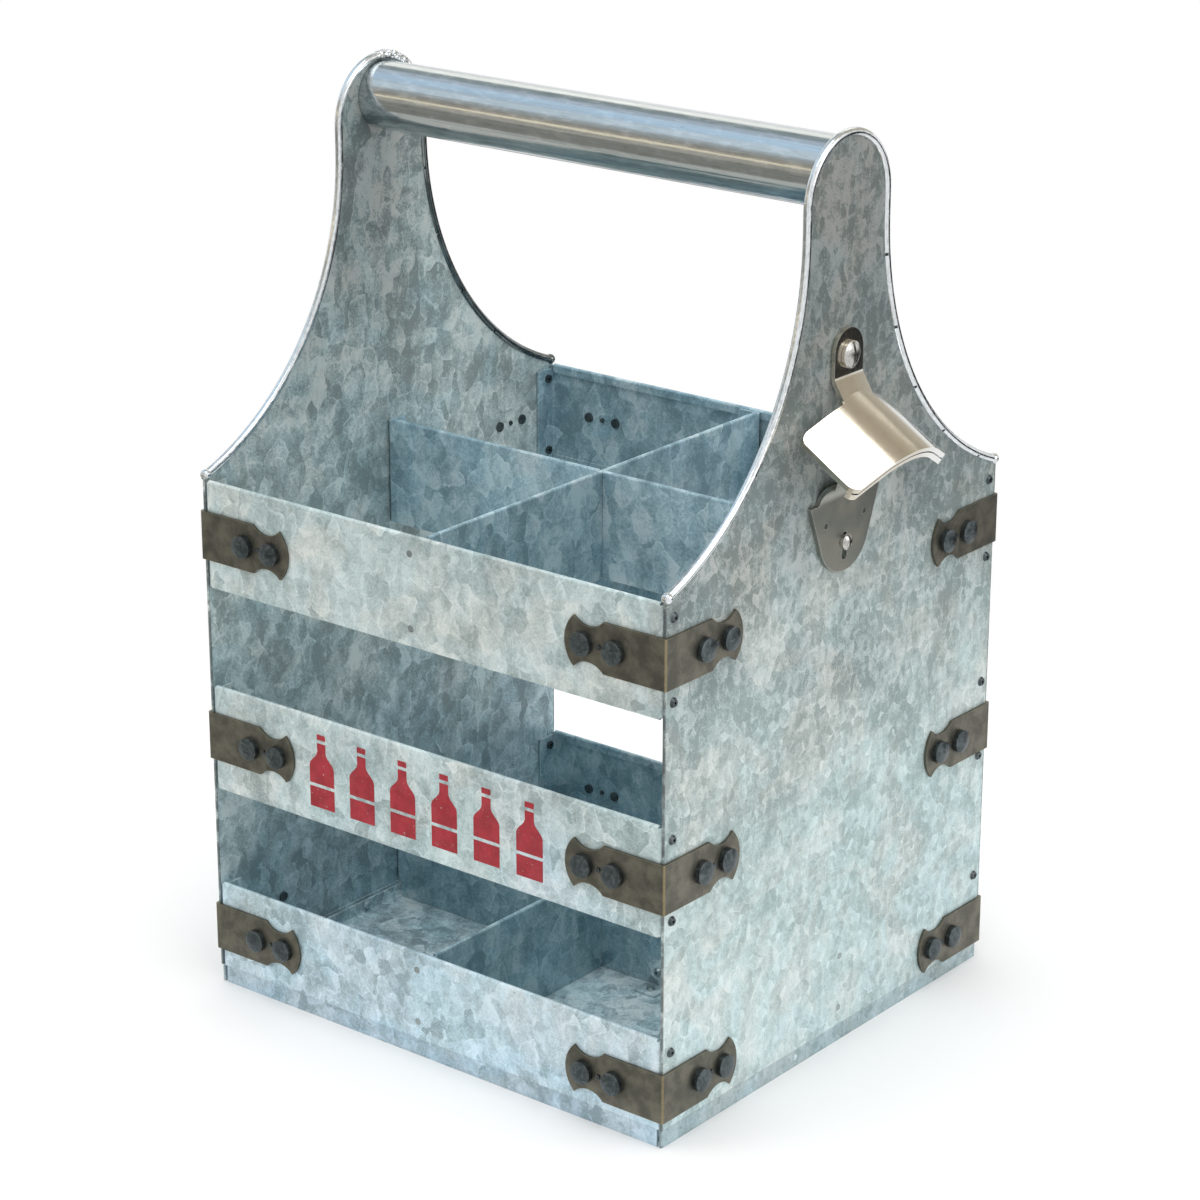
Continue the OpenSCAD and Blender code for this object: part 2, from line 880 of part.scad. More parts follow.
module corner_rivets(right, front) {
  face = strap_t + 2 * seat_gap;
  color(dark_steel)
    at_corner(right, front)
      for (i = [0:2]) {
        translate([body_l / 2 + seat_gap, -body_w / 2 - face, strap_z(right, front, i)])
          pointing_front() mirror([1, 0, 0]) leg_rivets(strap_slat_leg);
        translate([body_l / 2 + face, -body_w / 2 - seat_gap, strap_z(right, front, i)])
          standing() leg_rivets(strap_panel_leg);
      }
}

module strap_rivets_front_left() corner_rivets(false, true);

module strap_rivets_front_right() corner_rivets(true, true);

module strap_rivets_back_left() corner_rivets(false, false);

module strap_rivets_back_right() corner_rivets(true, false);

// Hollow rivet along +Z: head on z = 0, shank through a grip, upset ring below it
module pop_rivet(grip) {
  difference() {
    union() {
      cylinder(d1 = pop_head_d, d2 = pop_head_d * pop_crown_share, h = pop_head_h);
      translate([0, 0, -grip - pop_head_h]) {
        cylinder(d = pop_shank_d, h = grip + pop_head_h);
        cylinder(d = pop_head_d * pop_tail_share, h = pop_head_h);
      }
    }
    translate([0, 0, -grip - pop_head_h - cut])
      cylinder(d = pop_bore_d, h = grip + 2 * pop_head_h + 2 * cut);
  }
}

module slat_rivets() {
  grip = 2 * sheet_t + 3 * seat_gap;
  color(dark_steel)
    for (right = [true, false]) {
      for (front = [true, false]) {
        at_corner(right, front)
          for (i = [0:2]) {
            for (z = slat_rivet_zs(i)) {
              translate([body_l / 2 + seat_gap, -body_w / 2 + slat_rivet_side, z])
                pointing_x() pop_rivet(grip);
            }
          }
      }
    }
}

module divider_rivets() {
  long_grip = 2 * sheet_t + 2 * seat_gap;
  cross_grip = 3 * sheet_t + 2 * seat_gap;
  color(dark_steel) {
    for (i = [0, 2]) {
      for (z = divider_rivet_zs(i)) {
        for (m = [0, 1]) {
          mirror([m, 0, 0])
            translate([long_grip - body_l / 2, divider_rivet_side, z])
              pointing_x() flush_rivet(long_grip);
          mirror([0, m, 0])
            translate([-divider_rivet_side, body_w / 2 - cross_grip, z])
              pointing_front() flush_rivet(cross_grip);
        }
      }
    }
    // the angle clip's rivet through the long divider
    translate([clip_x, -1.5 * sheet_t - 2 * seat_gap, clip_ear_h])
      pointing_front() pop_rivet(2 * sheet_t + 3 * seat_gap);
    // the angle clip's rivet through the floor, with a flush underside
    translate([clip_x, clip_rivet_y, 2 * sheet_t + 2 * seat_gap])
      flush_rivet(2 * sheet_t + 2 * seat_gap);
  }
}

// Rivet along +Z whose far end is flush: head on z = 0, shank ends at the far face
module flush_rivet(grip) {
  cylinder(d1 = pop_head_d, d2 = pop_head_d * pop_crown_share, h = pop_head_h);
  translate([0, 0, -grip])
    cylinder(d = pop_shank_d, h = grip);
}

module floor_rivets() {
  grip = 2 * sheet_t + 2 * seat_gap;
  color(dark_steel)
    for (m = [0, 1]) {
      mirror([m, 0, 0])
        for (share = pan_rivet_shares) {
          translate([-pan_half_l + sheet_t + seat_gap, share * body_w / 2, pan_rivet_z])
            pointing_x() flush_rivet(grip);
        }
    }
}

// Opener: an arched hood on a folded tab, and a catch plate with a curled lip below it

// Filled form under the hood's section: the crown's circle with a rectangle along each flank
module hood_fill(r, flank) {
  circle(r = r);
  for (s = [-1, 1]) {
    rotate(-s * hood_half_angle)
      translate([s > 0 ? 0 : -flank, 0])
        square([flank, r]);
  }
}

// Section of one layer of the hood, between two depths below its outer face: a crown arc with
// a flat flank on each side. The outer face's top is at y = 0.
module hood_layer(near, far, flank) {
  foot = (hood_crown_r - far) * cos(hood_half_angle) - flank * sin(hood_half_angle);
  translate([0, -hood_crown_r])
    difference() {
      hood_fill(hood_crown_r - near, flank);
      hood_fill(hood_crown_r - far, flank + cut);
      translate([-2 * hood_crown_r, -2 * hood_crown_r])
        square([4 * hood_crown_r, 2 * hood_crown_r + foot - seat_gap]);
    }
}

// Band along the hood's lower edge, parted from the sheet above it by a groove in its end face
module hood_rim() {
  translate([0, 0, -hood_rim_w])
    difference() {
      linear_extrude(height = hood_rim_w)
        hood_layer(0, opener_t + hood_rim_gap + hood_rim_t, hood_flank_w + cut);
      translate([0, 0, hood_rim_w - hood_rim_groove])
        linear_extrude(height = hood_rim_w)
          hood_layer(opener_t, opener_t + hood_rim_gap, hood_flank_w + 2 * cut);
    }
}

// Cut outline of the hood's blank, seen square to its slope: x across, y down the slope
module hood_blank() {
  shoulder = hood_neck_l + hood_corner_r;
  foot = hood_neck_l + hood_l - hood_foot_r * hood_foot_share;
  difference() {
    union() {
      translate([-hood_half_w, shoulder])
        square([2 * hood_half_w, foot - shoulder]);
      translate([-hood_half_w + hood_foot_r, hood_neck_l])
        square([2 * (hood_half_w - hood_foot_r), hood_l + cut]);
      translate([-hood_half_w + hood_corner_r, hood_neck_l])
        square([2 * (hood_half_w - hood_corner_r), foot - hood_neck_l]);
      for (s = [-1, 1]) {
        translate([s * (hood_half_w - hood_corner_r), shoulder])
          circle(r = hood_corner_r);
        translate([s * (hood_half_w - hood_foot_r), foot])
          circle(r = hood_foot_r);
      }
      translate([-tab_r, crown_start])
        square([tab_w, hood_neck_l]);
      translate([-tab_r - hood_root_r, hood_neck_l - hood_root_r])
        square([tab_w + 2 * hood_root_r, hood_root_r + opener_t]);
    }
    for (s = [-1, 1]) {
      translate([s * (tab_r + hood_root_r), hood_neck_l - hood_root_r])
        circle(r = hood_root_r);
    }
  }
}

// Frame of the hood at its fold: X across, Y square out of the crown, Z down the slope
module at_hood_fold() {
  translate([opener_x + opener_t, 0, hood_fold_z])
    rotate([0, hood_slope, 0])
      standing() children();
}

module hood_shell() {
  length = hood_neck_l + hood_l;
  at_hood_fold()
    intersection() {
      union() {
        linear_extrude(height = length) hood_layer(0, opener_t, hood_flank_w + cut);
        translate([0, 0, length])
          hood_rim();
      }
      translate([0, cut, 0])
        rotate([90, 0, 0])
          linear_extrude(height = hood_crown_r) hood_blank();
    }
}

function fold_point(r, step) = fold_centre
  + r * [cos(180 + fold_bend * step / fold_steps), sin(180 + fold_bend * step / fold_steps)];

// Bend under the tab, and the flat neck that drops steeply from it and dips under the crown
module hood_neck() {
  outer = [for (k = [0:fold_steps]) fold_point(fold_r + opener_t, k)];
  inner = [for (k = [fold_steps:-1:0]) fold_point(fold_r, k)];
  reach = norm([neck_run, neck_drop]) - fold_reach + opener_t * neck_lap_share;
  run = reach * [cos(neck_slope), -sin(neck_slope)];
  rise = [0, opener_t];
  translate([0, tab_r, 0])
    rotate([90, 0, 0])
      linear_extrude(height = tab_w)
        polygon(concat(
          [outer[0] + rise],
          outer,
          [outer[fold_steps] + run, inner[0] + run],
          inner,
          [inner[fold_steps] + rise]
        ));
}

module opener_tab() {
  translate([opener_x, 0, 0])
    standing()
      linear_extrude(height = opener_t)
        difference() {
          union() {
            translate([0, tab_top_z - tab_r])
              circle(r = tab_r);
            translate([-tab_r, fold_centre[1]])
              square([tab_w, tab_top_z - tab_r - fold_centre[1]]);
          }
          translate([0, tab_screw_z])
            circle(d = top_screw_d + 2 * hole_gap);
        }
}

module opener_hood() {
  color(nickel) {
    opener_tab();
    hood_neck();
    hood_shell();
  }
}

module catch_face() {
  foot_c = catch_foot_z + catch_foot_r;
  reach = norm([catch_half_w, catch_top_z - foot_c]);
  tangent = acos(catch_foot_r / reach) + atan2(catch_half_w, catch_top_z - foot_c);
  difference() {
    union() {
      translate([0, foot_c])
        circle(r = catch_foot_r);
      polygon([
        [-catch_half_w, catch_top_z],
        [catch_half_w, catch_top_z],
        [catch_foot_r * sin(tangent), foot_c + catch_foot_r * cos(tangent)],
        [-catch_foot_r * sin(tangent), foot_c + catch_foot_r * cos(tangent)]
      ]);
    }
    // upright slot for the screw
    for (dz = [catch_slot_up, -catch_slot_down]) {
      translate([0, catch_screw_z + dz])
        circle(d = catch_slot_w);
    }
    translate([-catch_slot_w / 2, catch_screw_z - catch_slot_down])
      square([catch_slot_w, catch_slot_up + catch_slot_down]);
  }
}

// Outline to which the curled lip is trimmed, seen square to the panel
module lip_face() {
  top = catch_top_z + lip_r + 2 * opener_t;
  polygon([
    [-lip_half_w, catch_top_z - cut],
    [lip_half_w, catch_top_z - cut],
    [lip_half_w, catch_top_z],
    [lip_tip_half_w + lip_corner_r, top - lip_corner_r],
    [lip_tip_half_w, top],
    [-lip_tip_half_w, top],
    [-lip_tip_half_w - lip_corner_r, top - lip_corner_r],
    [-lip_half_w, catch_top_z]
  ]);
}

module catch_lip() {
  intersection() {
    translate([opener_x + opener_t + lip_r, 0, catch_top_z])
      rotate([90, 0, 0])
        mirror([1, 0, 0])
          translate([0, 0, -lip_half_w])
            rotate_extrude(angle = lip_angle)
              translate([lip_r, 0]) square([opener_t, 2 * lip_half_w]);
    translate([opener_x, 0, 0])
      standing()
        linear_extrude(height = 2 * (opener_t + lip_r)) lip_face();
  }
}

module opener_catch_plate() {
  color(nickel)
    difference() {
      union() {
        translate([opener_x, 0, 0])
          standing() linear_extrude(height = opener_t) catch_face();
        catch_lip();
      }
      for (s = [-1, 1]) {
        translate([
          opener_x + opener_t - dimple_depth,
          s * catch_half_w * dimple_side_share,
          catch_top_z - catch_h * dimple_drop_share
        ])
          pointing_x() cylinder(d = dimple_d, h = opener_t);
      }
    }
}

// Slotted pan-head screw along +Z: its head sits on z = 0
module pan_screw(head_d, shank_d, grip) {
  rim_h = screw_head_h / 2;
  dome_r = (head_d * head_d / 4 + rim_h * rim_h) / (2 * rim_h);
  difference() {
    intersection() {
      cylinder(d = head_d, h = screw_head_h);
      translate([0, 0, screw_head_h - dome_r])
        sphere(r = dome_r);
    }
    translate([-head_d, -screw_slot_w / 2, screw_head_h - screw_slot_depth])
      cube([2 * head_d, screw_slot_w, screw_head_h]);
  }
  translate([0, 0, -grip])
    cylinder(d = shank_d, h = grip);
}

module screw_at(z, head_d, shank_d, grip) {
  color(bright_steel)
    translate([opener_x + opener_t + seat_gap, 0, z])
      pointing_x() pan_screw(head_d, shank_d, grip);
}

module opener_top_screw() screw_at(tab_screw_z, top_screw_head_d, top_screw_d, top_screw_grip);

// This screw is threaded into the sheet and ends flush inside, in front of the upper divider
module opener_low_screw() screw_at(catch_screw_z, low_screw_head_d, low_screw_d, low_screw_grip);

module opener_nut() {
  color(bright_steel)
    translate([panel_inner_x - seat_gap - nut_h, 0, tab_screw_z])
      pointing_x()
        difference() {
          cylinder(d = nut_af / cos(30), h = nut_h, $fn = 6);
          translate([0, 0, -cut])
            cylinder(d = top_screw_d + 2 * hole_gap, h = nut_h + 2 * cut);
        }
}

left_end_panel();
right_end_panel();
left_edge_trim();
right_edge_trim();
handle_tube();
front_top_slat();
front_middle_slat();
front_bottom_slat();
back_top_slat();
back_middle_slat();
back_bottom_slat();
floor_pan();
upper_long_divider();
upper_cross_divider();
lower_long_divider();
lower_cross_divider();
divider_foot_clip();
strap_front_left_top();
strap_front_left_middle();
strap_front_left_bottom();
strap_front_right_top();
strap_front_right_middle();
strap_front_right_bottom();
strap_back_left_top();
strap_back_left_middle();
strap_back_left_bottom();
strap_back_right_top();
strap_back_right_middle();
strap_back_right_bottom();
strap_rivets_front_left();
strap_rivets_front_right();
strap_rivets_back_left();
strap_rivets_back_right();
slat_rivets();
divider_rivets();
floor_rivets();
opener_hood();
opener_catch_plate();
opener_top_screw();
opener_low_screw();
opener_nut();
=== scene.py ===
"""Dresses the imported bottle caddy: zinc sheet, bright rim trim, aged straps and a nickel opener."""

import logging
import math
import random
from dataclasses import dataclass, field, replace
from enum import Enum
from typing import List, Optional, Sequence, Tuple, Union

import bmesh
import bpy
from mathutils import Euler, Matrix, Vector


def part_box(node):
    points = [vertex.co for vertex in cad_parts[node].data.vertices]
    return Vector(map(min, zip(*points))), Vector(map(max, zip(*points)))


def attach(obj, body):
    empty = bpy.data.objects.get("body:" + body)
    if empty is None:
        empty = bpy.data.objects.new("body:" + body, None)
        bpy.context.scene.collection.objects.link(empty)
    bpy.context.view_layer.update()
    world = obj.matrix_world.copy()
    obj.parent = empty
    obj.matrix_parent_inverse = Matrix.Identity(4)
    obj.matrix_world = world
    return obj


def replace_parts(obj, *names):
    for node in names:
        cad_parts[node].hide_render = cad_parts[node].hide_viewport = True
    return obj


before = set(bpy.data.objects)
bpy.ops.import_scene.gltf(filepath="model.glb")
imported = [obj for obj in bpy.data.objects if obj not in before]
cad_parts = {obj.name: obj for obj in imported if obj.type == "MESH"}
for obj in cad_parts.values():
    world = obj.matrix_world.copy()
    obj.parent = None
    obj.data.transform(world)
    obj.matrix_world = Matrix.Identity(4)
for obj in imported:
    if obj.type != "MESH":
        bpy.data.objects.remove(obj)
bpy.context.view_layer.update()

log = logging.getLogger("caddy")

MM = 0.001
ROOT = "root"

Colour = Tuple[float, float, float, float]
Point = Tuple[float, float, float]
Range = Tuple[float, float]
Input = Union[bpy.types.NodeSocket, float, Sequence[float]]

# The range that most of a noise's values lie in
MOST = (0.3, 0.7)
HALF = (0.5, 0.5, 0.5)
# Rays that each bevel and corner search sends
SEARCH_RAYS = 4
# How metallic bare metal and paint are
METAL = 1.0
NO_METAL = 0.0


def paint(red: int, green: int, blue: int) -> Colour:
    """Turns a screen colour into a linear one.

    Args:
        red, green, blue: the colour's parts, from 0 to 255.

    Returns:
        The linear colour, with full opacity.
    """

    def linear(part: float) -> float:
        """Undoes the screen's curve for one part from 0 to 1."""
        return part / 12.92 if part <= 0.04045 else ((part + 0.055) / 1.055) ** 2.4

    return (linear(red / 255), linear(green / 255), linear(blue / 255), 1.0)


class Slot(Enum):
    """Material slots that the record names."""

    OUTER = "galvanised_sheet"
    INNER = "galvanised_inner"
    TRIM = "bright_trim"
    HANDLE = "handle_steel"
    RIVET = "dark_rivet_steel"
    STRAP = "aged_strap"
    OPENER = "nickel_opener"
    SCREW = "plated_screw"


@dataclass(frozen=True)
class Mask:
    """How a layer follows a pattern: the values where it starts and is full, and its strength at each."""

    start: float
    full: float
    weak: float = 0.0
    strong: float = 1.0


# How a noise makes the rubbing and painted highlights of edges uneven
UNEVEN_EDGE_MARKS = Mask(*MOST, 0.5, 1.6)


class Graph:
    """One material's node tree, with short calls for the nodes that the finishes share."""

    def __init__(self, name: str) -> None:
        """Makes an empty material of that name with one surface shader.

        Args:
            name: the material's name.
        """
        self.material = bpy.data.materials.new(name)
        self.material.use_nodes = True
        self.tree = self.material.node_tree
        self.tree.nodes.clear()
        self.shader = self.add("ShaderNodeBsdfPrincipled")
        output = self.add("ShaderNodeOutputMaterial")
        self.tree.links.new(self.shader.outputs["BSDF"], output.inputs["Surface"])
        self.place = self.add("ShaderNodeTexCoord").outputs["Object"]

    def add(self, kind: str, **settings: object) -> bpy.types.Node:
        """Adds a node and sets its properties.

        Args:
            kind: the node's type.
            settings: properties to set on it.

        Returns:
            The new node.
        """
        node = self.tree.nodes.new(kind)
        for key, value in settings.items():
            setattr(node, key, value)
        return node

    def feed(self, socket: bpy.types.NodeSocket, value: Input) -> None:
        """Links a socket to an output, or sets its constant.

        Args:
            socket: the input to fill.
            value: an output socket, a number or a tuple.
        """
        if isinstance(value, bpy.types.NodeSocket):
            self.tree.links.new(value, socket)
        else:
            socket.default_value = value

    def maths(self, operation: str, first: Input, second: Input = 0.0) -> bpy.types.NodeSocket:
        """Adds a sum of one or two values.

        Args:
            operation: the name of the sum.
            first, second: its values.

        Returns:
            The result's socket.
        """
        node = self.add("ShaderNodeMath", operation=operation)
        self.feed(node.inputs[0], first)
        self.feed(node.inputs[1], second)
        return node.outputs[0]

    def vector(self, operation: str, first: Input, second: Input) -> bpy.types.NodeSocket:
        """Adds a sum of two vectors.

        Args:
            operation: the name of the sum.
            first, second: its vectors.

        Returns:
            The result's socket.
        """
        node = self.add("ShaderNodeVectorMath", operation=operation)
        self.feed(node.inputs[0], first)
        self.feed(node.inputs[1], second)
        return node.outputs["Value" if operation == "DOT_PRODUCT" else "Vector"]

    def masked(self, pattern: Input, mask: Mask) -> bpy.types.NodeSocket:
        """Turns a pattern into a layer's strength."""
        return self.span(pattern, mask.start, mask.full, mask.weak, mask.strong)

    def scaled(self, vector: Input, factor: float) -> bpy.types.NodeSocket:
        """Multiplies a vector by one number."""
        return self.vector("MULTIPLY", vector, (factor, factor, factor))

    def span(
        self, value: Input, low: float, high: float, to_low: float = 0.0, to_high: float = 1.0
    ) -> bpy.types.NodeSocket:
        """Maps a range of values smoothly to another, and holds its ends.

        Args:
            value: what is mapped.
            low, high: the range it is read in.
            to_low, to_high: what the ends of that range become.

        Returns:
            The result's socket.
        """
        node = self.add("ShaderNodeMapRange", interpolation_type="SMOOTHSTEP")
        for socket, number in zip(node.inputs[:5], (value, low, high, to_low, to_high)):
            self.feed(socket, number)
        return node.outputs[0]

    def mix(self, factor: Input, first: Input, second: Input, how: str = "MIX") -> bpy.types.NodeSocket:
        """Mixes two colours.

        Args:
            factor: share of the second colour.
            first, second: the colours.
            how: the way of mixing.

        Returns:
            The mixed colour's socket.
        """
        node = self.add("ShaderNodeMix", data_type="RGBA", blend_type=how)
        self.feed(node.inputs[0], factor)
        self.feed(node.inputs[6], first)
        self.feed(node.inputs[7], second)
        return node.outputs[2]

    def tinted(self, colour: Input, tint: Input) -> bpy.types.NodeSocket:
        """Multiplies a colour by a tint."""
        return self.mix(1.0, colour, tint, "MULTIPLY")

    def scaled_colour(self, colour: Input, factor: Input) -> bpy.types.NodeSocket:
        """Multiplies a colour by one changing number.

        Args:
            colour: the colour.
            factor: the number.

        Returns:
            The new colour's socket.
        """
        node = self.add("ShaderNodeVectorMath", operation="SCALE")
        self.feed(node.inputs[0], colour[:3])
        self.feed(node.inputs["Scale"], factor)
        return node.outputs[0]

    def noise_node(
        self,
        per_mm: float,
        detail: float = 3.0,
        rough: float = 0.55,
        at: Optional[Input] = None,
        swirl: float = 0.0,
    ) -> bpy.types.Node:
        """Adds cloudy noise.

        Args:
            per_mm: how many lumps fit on a millimetre.
            detail: how many finer layers it has.
            rough: how strong the finer layers are.
            at: where it is read. The place on the object if left out.
            swirl: how far its lumps are drawn out into curls.

        Returns:
            The noise's node.
        """
        node = self.add("ShaderNodeTexNoise")
        self.feed(node.inputs["Vector"], self.place if at is None else at)
        self.feed(node.inputs["Scale"], per_mm / MM)
        self.feed(node.inputs["Detail"], detail)
        self.feed(node.inputs["Roughness"], rough)
        self.feed(node.inputs["Distortion"], swirl)
        return node

    def noise(self, per_mm: float, **settings: Union[Input, float]) -> bpy.types.NodeSocket:
        """Adds cloudy noise, with noise_node's settings, and gives its value, about 0.5 in the middle."""
        return self.noise_node(per_mm, **settings).outputs["Fac"]

    def stretched(self, along: Point, detail: float = 2.0) -> bpy.types.NodeSocket:
        """Adds noise with its own lumps per millimetre along each axis.

        Args:
            along: lumps per millimetre along X, Y and Z.
            detail: how many finer layers it has.

        Returns:
            The noise's value.
        """
        return self.noise(1.0, detail=detail, at=self.vector("MULTIPLY", self.place, along))

    def cells(self, per_mm: float, at: Input, feature: str = "F1") -> bpy.types.Node:
        """Adds a cell pattern.

        Args:
            per_mm: how many cells fit on a millimetre.
            at: where it is read.
            feature: which distance of the cells it gives.

        Returns:
            The pattern's node.
        """
        node = self.add("ShaderNodeTexVoronoi", feature=feature)
        self.feed(node.inputs["Vector"], at)
        self.feed(node.inputs["Scale"], per_mm / MM)
        return node

    def ramp(self, factor: Input, stops: Sequence[Tuple[float, Colour]]) -> bpy.types.NodeSocket:
        """Adds a row of colours.

        Args:
            factor: where in the row to read.
            stops: places from 0 to 1 and their colours.

        Returns:
            The colour's socket.
        """
        node = self.add("ShaderNodeValToRGB")
        points = node.color_ramp.elements
        while len(points) < len(stops):
            points.new(0.5)
        for point, (place, colour) in zip(points, stops):
            point.position = place
            point.color = colour
        self.feed(node.inputs[0], factor)
        return node.outputs["Color"]

    def apart(self, vector: Input) -> Sequence[bpy.types.NodeSocket]:
        """Splits a vector into its three parts.

        Args:
            vector: the vector.

        Returns:
            The sockets of its X, Y and Z.
        """
        node = self.add("ShaderNodeSeparateXYZ")
        self.feed(node.inputs[0], vector)
        return node.outputs

    def edge_wear_and_highlight(self, radius_mm: float, breakup: Input, rub: Mask) -> bpy.types.NodeSocket:
        """Finds edges that carry rubbing and painted highlights: where the rounded normal leaves the true
        one.

        Args:
            radius_mm: how far the mark reaches from an edge.
            breakup: noise that makes the mark uneven.
            rub: how much turn of the surface starts the mark, and makes it full.

        Returns:
            A mask, 1 on rubbed and highlighted edges.
        """
        bevel = self.add("ShaderNodeBevel", samples=SEARCH_RAYS)
        self.feed(bevel.inputs["Radius"], radius_mm * MM)
        true = self.add("ShaderNodeNewGeometry").outputs["Normal"]
        turn = self.maths("SUBTRACT", 1.0, self.vector("DOT_PRODUCT", bevel.outputs[0], true))
        uneven = self.maths("MULTIPLY", turn, self.masked(breakup, UNEVEN_EDGE_MARKS))
        return self.masked(uneven, rub)

    def corners(self, reach_mm: float) -> bpy.types.NodeSocket:
        """Finds corners and seams, where another surface is close, for the painted shade there.

        Args:
            reach_mm: how close that surface has to be.

        Returns:
            A mask, 1 deep in a corner, where the painted shade is strongest.
        """
        node = self.add("ShaderNodeAmbientOcclusion", samples=SEARCH_RAYS, only_local=False)
        self.feed(node.inputs["Distance"], reach_mm * MM)
        return self.maths("SUBTRACT", 1.0, node.outputs["AO"])

    def bumped(self, height: Input, depth_mm: float, strength: float = 1.0) -> None:
        """Sets the surface's bump.

        Args:
            height: the height's share.
            depth_mm: the full height in millimetres.
            strength: how strongly it turns the surface.
        """
        node = self.add("ShaderNodeBump")
        self.feed(node.inputs["Strength"], strength)
        self.feed(node.inputs["Distance"], depth_mm * MM)
        self.feed(node.inputs["Height"], height)
        self.feed(self.shader.inputs["Normal"], node.outputs[0])

    def surface(self, colour: Input, roughness: Input, metallic: float) -> None:
        """Fills the shader's main inputs.

        Args:
            colour: the base colour.
            roughness: the roughness.
            metallic: how metallic it is.
        """
        self.feed(self.shader.inputs["Base Color"], colour)
        self.feed(self.shader.inputs["Roughness"], roughness)
        self.feed(self.shader.inputs["Metallic"], metallic)


@dataclass(frozen=True)
class Finish:
    """A finish that is made once as a material and shared by its pieces."""

    name: str

    def make(self) -> bpy.types.Material:
        """Makes the finish's material.

        Returns:
            The new material.
        """
        graph = Graph(self.name)
        self.draw(graph)
        return graph.material

    def draw(self, graph: Graph) -> None:
        """Draws the finish's nodes. Each kind of finish has its own.

        Args:
            graph: the material's graph.
        """
        raise NotImplementedError


